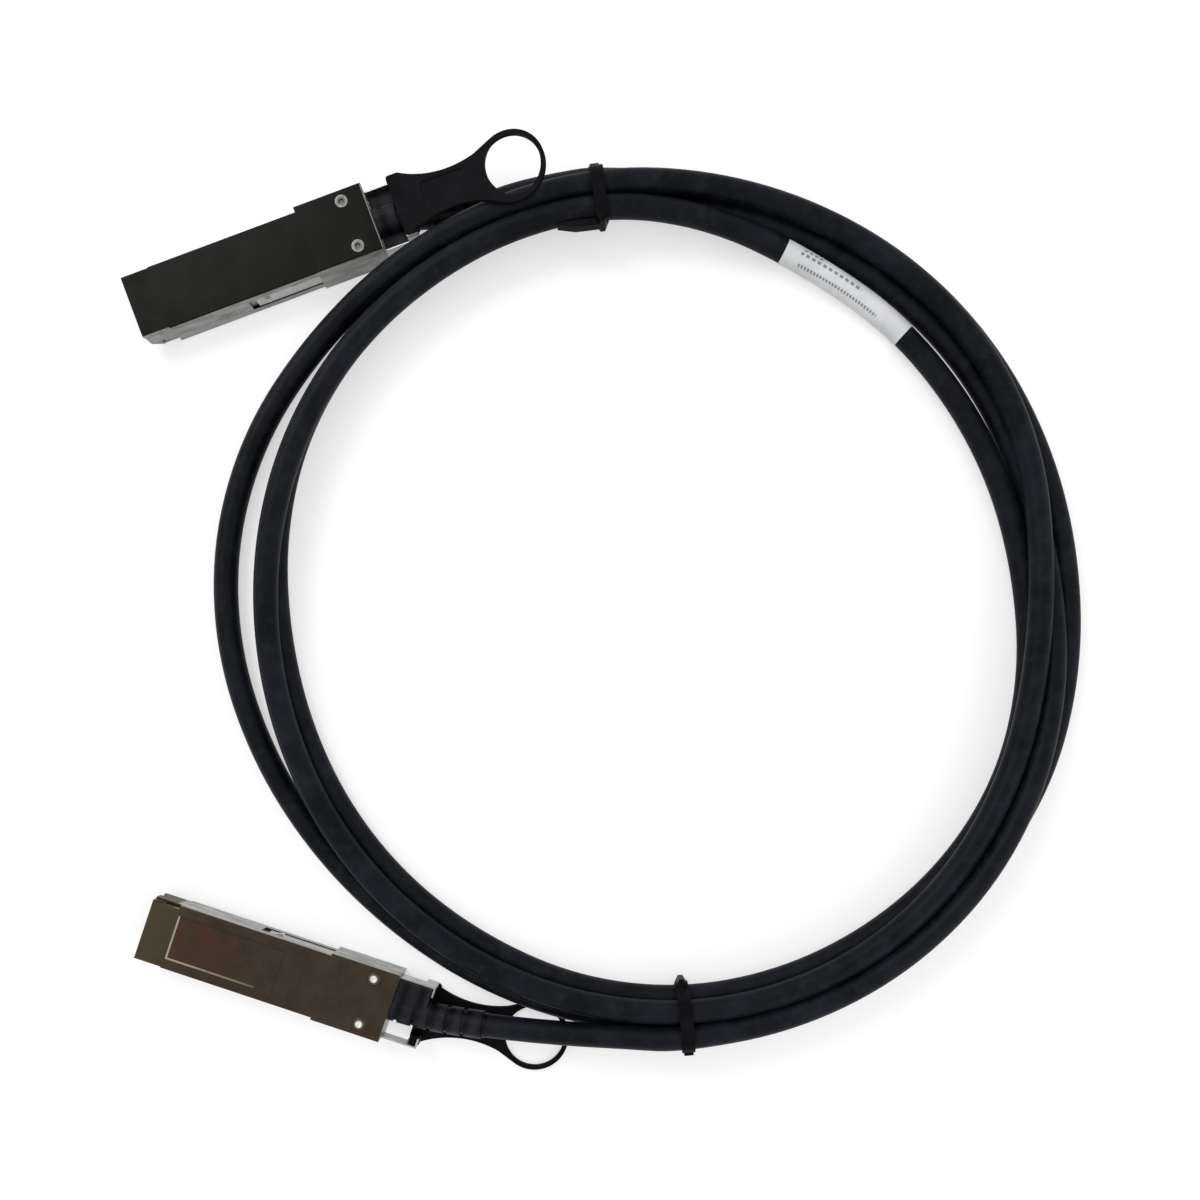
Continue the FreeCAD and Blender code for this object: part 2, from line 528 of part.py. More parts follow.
def wire_pairs():
    """Eight insulated pairs, four on each face, gathered into the cable."""
    pairs = []
    card_back = CARD_START + CARD_LENGTH
    for side in (1, -1):
        z_card = CARD_MIDDLE + side * (CARD_THICK / 2 + PAIR_RADIUS + 0.02)
        for lane in range(4):
            y_card = (lane - 1.5) * 3.1
            y_end = (lane - 1.5) * 1.36
            z_end = CABLE_AXIS + side * 0.78
            points = [Vector(card_back - 6.0, y_card, z_card), Vector(card_back + 1, y_card, z_card),
                      Vector(FERRULE_START - 4, y_end, z_end), Vector(CABLE_START - 0.05, y_end, z_end)]
            section = Part.Wire(Part.makeCircle(PAIR_RADIUS, points[0], Vector(1, 0, 0)))
            pairs.append(Part.makePolygon(points).makePipeShell([section], True, False, 1))
    return Part.makeCompound(pairs)


def crimp_ferrule():
    """Plain collar crimped on the end of the cable."""
    end = FERRULE_START + FERRULE_LENGTH
    ring = cylinder_x(FERRULE_START, end, FERRULE_RADIUS)
    return ring.cut(cylinder_x(FERRULE_START - 1, end + 1, CABLE_RADIUS + BORE_PLAY))


# ---------------------------------------------------------------- placing the plugs
def place_a(shape):
    shape = shape.copy()
    turn = Placement(PLUG_A_NOSE, Rotation(Vector(0, 0, 1), PLUG_A_YAW))
    shape.Placement = turn.multiply(shape.Placement)
    return shape


def place_b(shape):
    """Plug B lies upside down, on the top of its grip block."""
    shape = shape.copy()
    flip = Placement(Vector(0, 0, GRIP_BASE_Z), Rotation(Vector(1, 0, 0), 180))
    turn = Placement(PLUG_B_NOSE, Rotation(Vector(0, 0, 1), PLUG_B_YAW))
    shape.Placement = turn.multiply(flip).multiply(shape.Placement)
    return shape


def on_axis(place, x):
    """Point on the plug's cable axis, in the part's frame."""
    return place(Part.Vertex(Vector(x, 0, CABLE_AXIS))).Point


def part_of_path(wire, start, end):
    """The stretch of a path between two distances along it."""
    edges = []
    passed = 0.0
    for edge in wire.OrderedEdges:
        low, high = max(start - passed, 0.0), min(end - passed, edge.Length)
        if high - low > 1e-4:
            first, last = (edge.getParameterByLength(d) for d in (low, high))
            edges.append(edge.Curve.toShape(first, last))
        passed += edge.Length
    return Part.Wire(edges)


def rod_on(wire, radius):
    """Round rod along a stretch of a path."""
    first = wire.OrderedEdges[0]
    heading = first.tangentAt(first.FirstParameter)
    section = Part.Wire(Part.makeCircle(radius, first.valueAt(first.FirstParameter), heading))
    return wire.makePipeShell([section], True, False)


def strain_relief_boot(place, route):
    """Eared collar, a short ring and five tapered rings, with slots between them."""
    wire, _, _ = round_path(route)
    ear_x = REAR_WALL_FRONT - EAR_LENGTH
    collar = cylinder_x(ear_x, PLUG_LENGTH + 0.1, BOOT_RADIUS_FRONT - 0.15)
    ears = box(ear_x, REAR_WALL_FRONT - 0.05, -EAR_HALF, EAR_HALF,
               CABLE_AXIS - CABLE_RADIUS - 0.3, CABLE_AXIS + CABLE_RADIUS + 0.3)
    out = PLUG_LENGTH + 0.1 - CABLE_START
    bounds = [out] + [out + BOOT_FIRST + index * BOOT_PITCH for index in range(BOOT_SEGMENTS + 1)]
    bounds[-1] += BOOT_LAST
    pieces = [place(collar), place(ears)]
    slots = []
    for index, (start, end) in enumerate(zip(bounds, bounds[1:])):
        share = max(index - 1, 0) / (BOOT_SEGMENTS - 1)
        radius = BOOT_RADIUS_FRONT + (BOOT_RADIUS_BACK - BOOT_RADIUS_FRONT) * share
        pieces.append(rod_on(part_of_path(wire, start, end), radius - BOOT_GROOVE))
        pieces.append(rod_on(part_of_path(wire, start, end - BOOT_GROOVE_WIDTH), radius))
        if index < BOOT_SEGMENTS:
            gap = part_of_path(wire, end - BOOT_GROOVE_WIDTH / 2, end + 1).OrderedEdges[0]
            ahead = gap.tangentAt(gap.FirstParameter)
            across = ahead.cross(Vector(0, 0, 1)) if index % 2 else Vector(0, 0, 1)
            slot = Part.makeBox(BOOT_GROOVE_WIDTH * 0.7, 2 * BOOT_SLOT_HALF, 12,
                                Vector(-BOOT_GROOVE_WIDTH * 0.35, -BOOT_SLOT_HALF, -6))
            slot.Placement = Placement(gap.valueAt(gap.FirstParameter),
                                       Rotation(ahead, across, ahead.cross(across)))
            slots.append(slot)
    bore = tube(route, CABLE_RADIUS + BORE_PLAY)
    return cut_all(fuse_all(pieces), slots + [bore])


# ---------------------------------------------------------------- the coil
def tie_lift(angle):
    """How far the straps lift the bundle off the table at an angle."""
    lift = 0.0
    for tie in (TIE_TOP_ANGLE, TIE_BOTTOM_ANGLE):
        away = abs((angle - tie + 180) % 360 - 180)
        if away < TIE_LIFT_SPREAD:
            lift += TIE_LIFT * (1 + math.cos(math.pi * away / TIE_LIFT_SPREAD)) / 2
    return lift


def lay_at(angle):
    """Radius and height of the cable at an angle of its whole winding."""
    index = 0
    while index < len(LAY) - 2 and LAY[index + 1][0] > angle:
        index += 1
    before = LAY[max(index - 1, 0)]
    here, there = LAY[index], LAY[index + 1]
    after = LAY[min(index + 2, len(LAY) - 1)]
    span = here[0] - there[0]
    t = min(max((here[0] - angle) / span, 0.0), 1.0)   # past its ends the lay stays as it was
    values = []
    for k in (1, 2):
        slope_here = (there[k] - before[k]) / (before[0] - there[0]) * span
        slope_there = (after[k] - here[k]) / (here[0] - after[0]) * span
        values.append((2 * t ** 3 - 3 * t ** 2 + 1) * here[k] + (t ** 3 - 2 * t ** 2 + t) * slope_here
                      + (3 * t ** 2 - 2 * t ** 3) * there[k] + (t ** 3 - t ** 2) * slope_there)
    return values[0], values[1] + tie_lift(angle)


def coil_point(angle, radius, height):
    turn = math.radians(angle)
    return COIL_CENTRE + Vector(radius * math.cos(turn), radius * math.sin(turn), height)


def strands_at(angle):
    """Where each pass of the cable lies at one angle round the coil."""
    strands = []
    turned = COIL_STARTS_AT - ((COIL_STARTS_AT - angle) % 360)
    while turned >= COIL_ENDS_AT - 0.01:
        strands.append(lay_at(turned))
        turned -= 360
    return strands


def split_layers(angle):
    """The passes at one angle, as those that lie low and those that lie on them."""
    strands = strands_at(angle)
    divide = (LOW + HIGH) / 2 + tie_lift(angle)
    return [s for s in strands if s[1] < divide], [s for s in strands if s[1] >= divide]


def coil_section(angle):
    """Eight-sided outline round the passes at one angle."""
    lift = tie_lift(angle)
    low, high = split_layers(angle)
    top = max(z for r, z in high)
    low = [r for r, z in low]
    high = [r for r, z in high]
    bottom = LOW + lift
    outline = [(min(low), bottom - CABLE_RADIUS), (max(low), bottom - CABLE_RADIUS),
               (max(low) + CABLE_RADIUS, bottom), (max(high) + CABLE_RADIUS, top),
               (max(high), top + CABLE_RADIUS), (min(high), top + CABLE_RADIUS),
               (min(high) - CABLE_RADIUS, top), (min(low) - CABLE_RADIUS, bottom)]
    if outline[1][0] - outline[0][0] < 0.5:
        outline[1] = (outline[0][0] + 0.5, outline[0][1])
    if outline[4][0] - outline[5][0] < 0.5:
        outline[4] = (outline[5][0] + 0.5, outline[5][1])
    points = [coil_point(angle, r, z) for r, z in outline]
    return Part.makePolygon(points + [points[0]])


def label_path():
    """Short straight runs along the innermost turn."""
    step = (LABEL_END_ANGLE - LABEL_START_ANGLE) / LABEL_RUNS
    angles = [LABEL_START_ANGLE + index * step for index in range(LABEL_RUNS + 1)]
    return [coil_point(angle, *lay_at(angle - 720)) for angle in angles]


def label_rod(radius):
    points = label_path()
    section = Part.Wire(Part.makeCircle(radius, points[0], points[1] - points[0]))
    return Part.makePolygon(points).makePipeShell([section], True, False, 1)


def cable_label():
    """Blank sleeve of film round the innermost turn."""
    return label_rod(CABLE_RADIUS + LABEL_PLAY + LABEL_THICK).cut(
        label_rod(CABLE_RADIUS + LABEL_PLAY))


def cable_coil(touching):
    """One closed solid of the coil's outer shape, up against what touches it."""
    sections = [coil_section(COIL_STARTS_AT - index * 360 / COIL_SECTIONS)
                for index in range(COIL_SECTIONS)]
    ring = Part.makeLoft(sections + [sections[0]], True, True, False)
    wrapped = label_rod(CABLE_RADIUS + LABEL_PLAY + LABEL_THICK)
    ring = cut_all(ring, touching + [wrapped])
    return max(ring.Solids, key=lambda solid: solid.Volume)


# ---------------------------------------------------------------- ties
def tie_loop(angle, offset):
    """Closed outline of equal circles round the passes, pulled tight, in a radial plane."""
    low, high = split_layers(angle)
    corners = list(dict.fromkeys([min(low), max(low), max(high), min(high)]))
    radius = CABLE_RADIUS + offset
    edges = []
    count = len(corners)
    pieces = []
    for index in range(count):
        (r0, z0), (r1, z1) = corners[index], corners[(index + 1) % count]
        along = Vector(r1 - r0, z1 - z0, 0)
        along.normalize()
        out = Vector(along.y, -along.x, 0) * radius
        pieces.append((Vector(r0, z0, 0) + out, Vector(r1, z1, 0) + out, out))
    for index, (start, end, out) in enumerate(pieces):
        edges.append(Part.LineSegment(start, end).toShape())
        next_start, _, next_out = pieces[(index + 1) % count]
        corner = end - out
        middle = out + next_out
        middle.normalize()
        edges.append(Part.Arc(end, corner + middle * radius, next_start).toShape())
    return Part.Wire(edges)


def to_radial_plane(shape, angle):
    """Drawn x becomes the radius, drawn y the height and drawn z the way round."""
    turn = math.radians(angle)
    outward = Vector(math.cos(turn), math.sin(turn), 0)
    up = Vector(0, 0, 1)
    shape = shape.copy()
    shape.Placement = Placement(COIL_CENTRE, Rotation(outward, up, outward.cross(up)))
    return shape


def cable_tie(angle, tail_length):
    """Flat strap, the knot of its twisted ends and the end folded along the bundle."""
    outer = Part.Face(tie_loop(angle, TIE_PLAY + TIE_THICK))
    inner = Part.Face(tie_loop(angle, TIE_PLAY))
    band = outer.cut(inner).extrude(Vector(0, 0, TIE_WIDTH))
    band.translate(Vector(0, 0, -TIE_WIDTH / 2))
    strands = strands_at(angle)
    inner_r, inner_z = min(strands)
    outer_r, outer_z = max(strands)
    inner_edge = inner_r - CABLE_RADIUS
    outer_edge = outer_r + CABLE_RADIUS + TIE_PLAY + TIE_THICK
    depth, width, height = TIE_KNOT
    knot = prism([Vector(inner_edge + 0.4, inner_z - height / 2, -width / 2),
                  Vector(inner_edge - depth, inner_z - height / 2, -width / 6),
                  Vector(inner_edge - depth, inner_z - height / 2, width / 6),
                  Vector(inner_edge + 0.4, inner_z - height / 2, width / 2)],
                 Vector(0, height, 0))
    bump = box(outer_edge - 1.0, outer_edge + TIE_BUMP, outer_z - 1.6, outer_z + 1.6,
               -TIE_WIDTH / 2 + 0.5, TIE_WIDTH / 2 - 0.5)
    fill = inner.extrude(Vector(0, 0, 20))
    fill.translate(Vector(0, 0, -10))
    pieces = [band, knot, bump]
    if tail_length:
        _, thick, tall = TIE_TAIL
        near, far = inner_edge - depth, inner_edge - depth + thick
        pieces.append(prism([Vector(near, inner_z - tall / 2, width / 6),
                             Vector(near, inner_z - tall / 2, -tail_length * 0.6),
                             Vector(far - 0.7, inner_z - tall / 2, -tail_length),
                             Vector(far, inner_z - tall / 2, -tail_length),
                             Vector(far, inner_z - tall / 2, width / 6)], Vector(0, tall, 0)))
    return to_radial_plane(fuse_all(pieces).cut(fill), angle)


# ---------------------------------------------------------------- build
def plug_parts(place, bend, route):
    """Every piece of one plug, where it lies."""
    parts = {
        "lower_shell": place(lower_shell()),
        "upper_shell": place(upper_shell()),
        "shell_rivets": place(shell_rivets()),
        "latch_slide": place(latch_slide()),
        "latch_springs": place(latch_springs()),
        "pull_tab": place(pull_tab(bend)),
        "paddle_card": place(paddle_card()),
        "card_contacts": place(card_contacts()),
        "card_chip": place(card_chip()),
        "wire_pairs": place(wire_pairs()),
        "crimp_ferrule": place(crimp_ferrule()),
        "strain_relief_boot": strain_relief_boot(place, route),
    }
    return parts


def main():
    os.makedirs("parts", exist_ok=True)
    route_a = [on_axis(place_a, CABLE_START), on_axis(place_a, BOOT_MIDDLE)] + LEAD_A
    route_b = [on_axis(place_b, CABLE_START), on_axis(place_b, BOOT_MIDDLE)] + LEAD_B[::-1]
    parts = {}
    for suffix, place, bend, route in (("a", place_a, TAB_BEND_A, route_a),
                                       ("b", place_b, TAB_BEND_B, route_b)):
        for name, shape in plug_parts(place, bend, route).items():
            parts[name + "_" + suffix] = shape
    parts["cable_lead_a"] = tube(route_a, CABLE_RADIUS, "lead a")
    parts["cable_lead_b"] = tube(route_b, CABLE_RADIUS, "lead b")
    parts["cable_label"] = cable_label()
    parts["cable_tie_top"] = cable_tie(TIE_TOP_ANGLE, TIE_TAIL[0])
    parts["cable_tie_bottom"] = cable_tie(TIE_BOTTOM_ANGLE, 0)
    parts["cable_coil"] = cable_coil([parts[name] for name in (
        "cable_lead_a", "cable_lead_b", "cable_tie_top", "cable_tie_bottom")])
    for name, shape in parts.items():
        shape.exportStep("parts/%s.step" % name)
    whole = Part.makeCompound(list(parts.values())).BoundBox
    print("box", "x %.2f %.2f" % (whole.XMin, whole.XMax), "y %.2f %.2f" % (whole.YMin, whole.YMax),
          "z %.2f %.2f" % (whole.ZMin, whole.ZMax))


main()
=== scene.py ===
import json
import math

import bmesh
import bpy
from bpy.props import FloatProperty, FloatVectorProperty, PointerProperty
from bpy.types import Operator, Panel, PropertyGroup
from mathutils import Matrix, Vector

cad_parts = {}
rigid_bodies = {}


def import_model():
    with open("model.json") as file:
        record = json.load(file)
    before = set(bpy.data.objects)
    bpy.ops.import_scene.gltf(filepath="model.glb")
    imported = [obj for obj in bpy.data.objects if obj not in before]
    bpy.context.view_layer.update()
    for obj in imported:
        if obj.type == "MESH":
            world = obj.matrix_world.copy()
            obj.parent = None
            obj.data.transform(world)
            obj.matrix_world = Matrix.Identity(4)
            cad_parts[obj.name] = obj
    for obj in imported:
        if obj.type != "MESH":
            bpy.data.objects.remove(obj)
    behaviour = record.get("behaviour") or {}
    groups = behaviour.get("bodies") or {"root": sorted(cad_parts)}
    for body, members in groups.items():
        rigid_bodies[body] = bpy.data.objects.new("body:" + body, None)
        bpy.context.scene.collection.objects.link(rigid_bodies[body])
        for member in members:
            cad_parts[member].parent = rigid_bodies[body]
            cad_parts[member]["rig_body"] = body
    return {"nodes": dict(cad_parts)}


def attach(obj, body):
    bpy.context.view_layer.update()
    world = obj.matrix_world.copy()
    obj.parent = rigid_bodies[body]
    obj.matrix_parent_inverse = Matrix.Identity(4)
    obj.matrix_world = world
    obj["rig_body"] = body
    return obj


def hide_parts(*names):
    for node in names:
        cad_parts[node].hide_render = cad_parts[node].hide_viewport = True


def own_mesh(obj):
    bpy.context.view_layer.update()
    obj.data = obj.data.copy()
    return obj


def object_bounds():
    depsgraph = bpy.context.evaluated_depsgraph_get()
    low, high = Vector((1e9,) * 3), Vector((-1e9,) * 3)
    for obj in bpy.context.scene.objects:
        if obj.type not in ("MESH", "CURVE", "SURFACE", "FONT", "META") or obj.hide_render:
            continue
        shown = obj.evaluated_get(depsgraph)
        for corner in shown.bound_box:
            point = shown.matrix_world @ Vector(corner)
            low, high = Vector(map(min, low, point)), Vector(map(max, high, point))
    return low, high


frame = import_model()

bl_info = {
    "name": "Data Cable Bundle",
    "version": (1, 0, 0),
    "blender": (4, 5, 0),
    "location": "View3D > Sidebar > Data Cable",
    "description": "Dresses a coiled data cable: jacket, plugs, latches, pull tabs, ties, label",
    "category": "Object",
}

CAD_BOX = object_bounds()
MM = 0.001

# ---------------------------------------------------------------- sizes of the coil
CABLE_DIAMETER = 6.65 * MM
CABLE_RADIUS = CABLE_DIAMETER / 2
CABLE_AXIS = 4.5 * MM             # height of the cable inside a plug, from the plug's flat side
CABLE_START = 58.0 * MM           # from the plug's nose, inside the shells
BOOT_MIDDLE = 82.0 * MM
GRIP_HEIGHT = 9.9 * MM
PLUG_A_NOSE = Vector((-132.85, 85.9, 0.0)) * MM
PLUG_A_YAW = math.radians(20.45)
PLUG_B_NOSE = Vector((-128.95, -88.0, 0.0)) * MM
PLUG_B_YAW = math.radians(-18.4)
COIL_CENTRE = Vector((12.5, 2.2, 0.0)) * MM
LEAD_A = [Vector(place) * MM for place in (
    (-40.3, 113.9, 4.2), (-26.0, 119.8, 4.35), (-8.8, 123.2, 4.5))]
LEAD_B = [Vector(place) * MM for place in (
    (6.7, -118.5, 10.2), (-12.3, -117.8, 9.0), (-31.8, -116.5, 6.8))]
COIL_STARTS_AT = 97.0             # degrees round the coil, falling as the cable is followed
COIL_ENDS_AT = -1166.0
COIL_STEP = 15.0
ROUTE_STEPS = 8                   # pieces of the cable's line between two of its controls
TIE_TOP_ANGLE = 97.0
TIE_BOTTOM_ANGLE = -85.0
TIE_LIFT = 1.17 * MM              # a strap and its play under the bundle
TIE_LIFT_SPREAD = 42.0
LOW = 3.35                        # usual heights of a lower and an upper turn, in millimetres
HIGH = 9.1
LABEL_TURN = -720.0
LABEL_FROM = 68.5
LABEL_TO = 47.5
LABEL_RADIUS = CABLE_RADIUS + 0.16 * MM

# sizes of a plug, in its own axes: x from the nose, z from the flat side
NOSE_HALF = 8.825 * MM
NOSE_BEVEL = 0.51 * MM            # how deep the flanks are bevelled
NOSE_FLANK = (6.51 * MM, 7.288 * MM)      # where the flanks' bevel meets flat side and front
NOSE_CHAMFER = (3.254 * MM, 2.231 * MM)   # and where the chamfer under the mouth does
NOSE_LIP = 0.25 * MM                      # how far plug B's lip falls back instead
NOSE_NEAR = 0.01                  # how close to a bevel's plane a corner has to be, as a share
FIELD_FROM = 8.8 * MM             # the shallow field in the flat side
FIELD_TO = 34.5 * MM
FIELD_HALF = 6.0 * MM
PLUG_LENGTH = 72.4 * MM
STRAP_START = PLUG_LENGTH + 9.8 * MM
TAB_BOTTOM = 8.72 * MM
TAB_YAW = math.radians(-7.5)      # how plug A's strap lies
TAB_PITCH = math.radians(10.6)
RING_CENTRE = 31.6 * MM
RING_INNER = 8.5 * MM
RING_SHIFT = 1.7 * MM             # how far plug A's finger hole is set off at most
RING_SIDE = math.radians(205)     # and on which side
DARK_BLOCK_FROM = PLUG_LENGTH + 0.15 * MM        # a dark block in the boot's mesh between the latch arms
DARK_BLOCK_TO = PLUG_LENGTH + 9.7 * MM
DARK_BLOCK_HEIGHTS = (1.2 * MM, 4.38 * MM)
DARK_BLOCK_SIDES = {"a": (-8.4 * MM, 8.4 * MM), "b": (-8.4 * MM, -1.0 * MM)}
BOOT_FIRST_END = PLUG_LENGTH + 2.65 * MM
BOOT_PITCH = 4.75 * MM
RIVET_X = 65.7 * MM
RIVET_Y = 6.65 * MM
RIVET_HEAD = 1.85 * MM
RIM_RADIUS = RIVET_HEAD * 0.62
RIM_THICKNESS = 0.26 * MM
RIM_DEPTH = 0.22 * MM             # below the face that a rim stands in

# how the frame's shapes are dressed
WELD = 0.002 * MM
EASED_EDGE = 0.12 * MM
EASED_ANGLE = 35.0                # degrees; edges sharper than this are eased
LABEL_SHARP_ANGLE = 40.0
TUCK_DEPTH = 1.3 * MM             # how far in the outside of a tie is pressed
TUCK_SHARE = 0.45                 # and what share of that still stands out

# rows of bars on the label: distance from its middle and width in millimetres, the angles
# where a row starts and ends, and the angle from bar to bar
LABEL_ROWS = ((1.8, 0.6, 63.0, 66.4, 0.83),
              (0.4, 0.9, 56.0, 66.6, 0.97),
              (-2.4, 0.6, 52.0, 66.4, 0.55))

# each plug's own shades, the share of the walls' colour that it keeps, and the width of the
# pale line painted along the back edge of its faces as a painted highlight
SHELLS = {
    # the middle of each rivet head: painted shade in plug A's hollows, a painted glint on plug B's
    "a": {"nose": None, "wall": 0.72, "field": None, "rim": 0.4 * MM,
          "rivet": (0.19, 0.19, 0.18), "rivet_painted_light": (0.07, 0.07, 0.065)},
    "b": {"nose": (0.066, 0.053, 0.027), "wall": 1.0, "field": (0.060, 0.029, 0.018), "rim": 0.0,
          "rivet": (0.085, 0.07, 0.055), "rivet_painted_light": (0.85, 0.83, 0.78)},
}

# ---------------------------------------------------------------- sizes of the stage
FLOOR_HALF = 3.0
FLOOR_PLAY = 0.02 * MM
WORLD_LIGHT = 0.66                # how bright the white surroundings light the cable
CAMERA_PLACE = (-1.25 * MM, -36.7 * MM)
CAMERA_SHIFT = 0.12
FRAME_WIDTH = 36.0                # millimetres
LAMPS = {                         # place, width in metres and watts
    "key_light": ((-0.5, 0.55, 0.75), 0.5, 3.0),
    "fill_light": ((0.7, -0.5, 0.6), 0.8, 1.4),
}

# angle round the winding in degrees, radius and height in millimetres
LAY = [
    (97, 121.6, LOW), (75, 120.9, LOW), (55, 121.4, LOW), (35, 120.6, LOW), (15, 119.7, LOW),
    (0, 119.9, LOW), (-15, 121.4, LOW), (-27, 122.0, LOW), (-40, 121.0, LOW), (-60, 119.4, LOW),
    (-83, 118.1, LOW), (-100, 116.5, LOW), (-115, 115.1, LOW), (-135, 114.3, LOW),
    (-160, 117.2, LOW), (-180, 120.8, LOW), (-200, 122.0, LOW), (-220, 120.3, 3.9),
    (-230, 119.4, 6.5), (-240, 118.1, 8.8), (-263, 118.5, HIGH),
    (-285, 117.9, HIGH), (-305, 118.1, HIGH), (-325, 117.0, HIGH), (-335, 114.9, 9.9),
    (-345, 111.9, 10.2), (-360, 108.6, 10.2), (-375, 109.6, 10.0), (-395, 112.9, 9.8),
    (-420, 115.1, 9.6), (-443, 114.2, 9.5), (-460, 112.6, HIGH), (-475, 111.0, 9.0),
    (-495, 109.2, 9.0), (-520, 107.2, 9.5), (-540, 107.0, 9.9), (-560, 108.6, 9.9),
    (-580, 110.3, 9.8), (-600, 111.3, 9.4), (-612, 111.9, HIGH), (-623, 111.9, 9.2),
    (-631, 111.3, 9.4), (-640, 109.5, 7.8), (-648, 107.9, 5.2), (-656, 107.3, 4.0),
    (-668, 106.8, 3.8), (-688, 106.0, 3.6), (-705, 106.7, LOW), (-720, 108.0, LOW),
    (-732, 110.9, LOW), (-745, 113.0, LOW), (-760, 113.6, LOW), (-780, 112.8, LOW),
    (-803, 111.5, LOW), (-820, 109.6, LOW), (-835, 107.1, LOW), (-855, 105.4, LOW),
    (-880, 104.3, LOW), (-900, 105.7, LOW), (-920, 110.2, LOW), (-940, 113.2, LOW),
    (-960, 114.1, LOW), (-972, 114.9, LOW), (-983, 115.1, LOW), (-1005, 114.5, LOW),
    (-1025, 114.7, LOW), (-1045, 114.0, LOW), (-1065, 113.2, 3.6), (-1080, 114.0, 6.1),
    (-1095, 116.8, 8.1), (-1105, 118.3, 9.4), (-1118, 120.4, 9.9), (-1140, 121.7, 9.4),
    (-1163, 120.8, 9.5), (-1176, 120.8, 9.4),
]

# ---------------------------------------------------------------- places
PLUG_A = Matrix.Translation(PLUG_A_NOSE) @ Matrix.Rotation(PLUG_A_YAW, 4, "Z")
PLUG_B = (Matrix.Translation(PLUG_B_NOSE) @ Matrix.Rotation(PLUG_B_YAW, 4, "Z")
          @ Matrix.Translation((0, 0, GRIP_HEIGHT)) @ Matrix.Rotation(math.pi, 4, "X"))
PLUGS = {"a": PLUG_A, "b": PLUG_B}


def tie_lift(angle):
    """How far the straps lift the bundle off the table at an angle."""
    lift = 0.0
    for tie in (TIE_TOP_ANGLE, TIE_BOTTOM_ANGLE):
        away = abs((angle - tie + 180) % 360 - 180)
        if away < TIE_LIFT_SPREAD:
            lift += TIE_LIFT * (1 + math.cos(math.pi * away / TIE_LIFT_SPREAD)) / 2
    return lift


def lay_at(angle):
    """Radius and height of the cable at an angle of its whole winding, in metres."""
    index = 0
    while index < len(LAY) - 2 and LAY[index + 1][0] > angle:
        index += 1
    before, here, there = LAY[max(index - 1, 0)], LAY[index], LAY[index + 1]
    after = LAY[min(index + 2, len(LAY) - 1)]
    span = here[0] - there[0]
    t = min(max((here[0] - angle) / span, 0.0), 1.0)   # past its ends the lay stays as it was
    values = []
    for k in (1, 2):
        slope_here = (there[k] - before[k]) / (before[0] - there[0]) * span
        slope_there = (after[k] - here[k]) / (here[0] - after[0]) * span
        values.append((2 * t ** 3 - 3 * t ** 2 + 1) * here[k]
                      + (t ** 3 - 2 * t ** 2 + t) * slope_here
                      + (3 * t ** 2 - 2 * t ** 3) * there[k]
                      + (t ** 3 - t ** 2) * slope_there)
    return values[0] * MM, values[1] * MM + tie_lift(angle)


def coil_point(angle, radius, height):
    turn = math.radians(angle)
    return COIL_CENTRE + Vector((radius * math.cos(turn), radius * math.sin(turn), height))


def coil_controls():
    """Control points of the turns, set out so that the curve runs at the lay's own radius."""
    points = []
    steps = round((COIL_STARTS_AT - COIL_ENDS_AT) / COIL_STEP)
    step = (COIL_STARTS_AT - COIL_ENDS_AT) / steps
    wider = 1 / math.cos(math.radians(step / 2))
    for index in range(steps + 1):
        angle = COIL_STARTS_AT - index * step
        radius, height = lay_at(angle)
        points.append(coil_point(angle, radius * wider, height))
    return points


def cable_controls():
    """The whole route, from inside plug A round the coil to inside plug B."""
    start = [PLUG_A @ Vector((x, 0, CABLE_AXIS)) for x in (CABLE_START, BOOT_MIDDLE)]
    finish = [PLUG_B @ Vector((x, 0, CABLE_AXIS)) for x in (BOOT_MIDDLE, CABLE_START)]
    return start + LEAD_A + coil_controls() + LEAD_B + finish


LABEL_RADII = [lay_at(angle + LABEL_TURN)[0] for angle in (LABEL_TO, LABEL_FROM)]


# ---------------------------------------------------------------- shader maths
class Channel:
    """A shader socket that can be added, multiplied and so on, each adding a Math node."""

    def __init__(self, nodes, socket):
        self.nodes = nodes
        self.socket = socket

    def __add__(self, other):
        return self.nodes.maths("ADD", self, other)

    def __radd__(self, other):
        return self.nodes.maths("ADD", other, self)

    def __sub__(self, other):
        return self.nodes.maths("SUBTRACT", self, other)

    def __rsub__(self, other):
        return self.nodes.maths("SUBTRACT", other, self)

    def __mul__(self, other):
        return self.nodes.maths("MULTIPLY", self, other)

    def __rmul__(self, other):
        return self.nodes.maths("MULTIPLY", other, self)

    def __truediv__(self, other):
        return self.nodes.maths("DIVIDE", self, other)

    def __gt__(self, other):
        return self.nodes.maths("GREATER_THAN", self, other)

    def __lt__(self, other):
        return self.nodes.maths("LESS_THAN", self, other)

    def __abs__(self):
        return self.nodes.maths("ABSOLUTE", self)


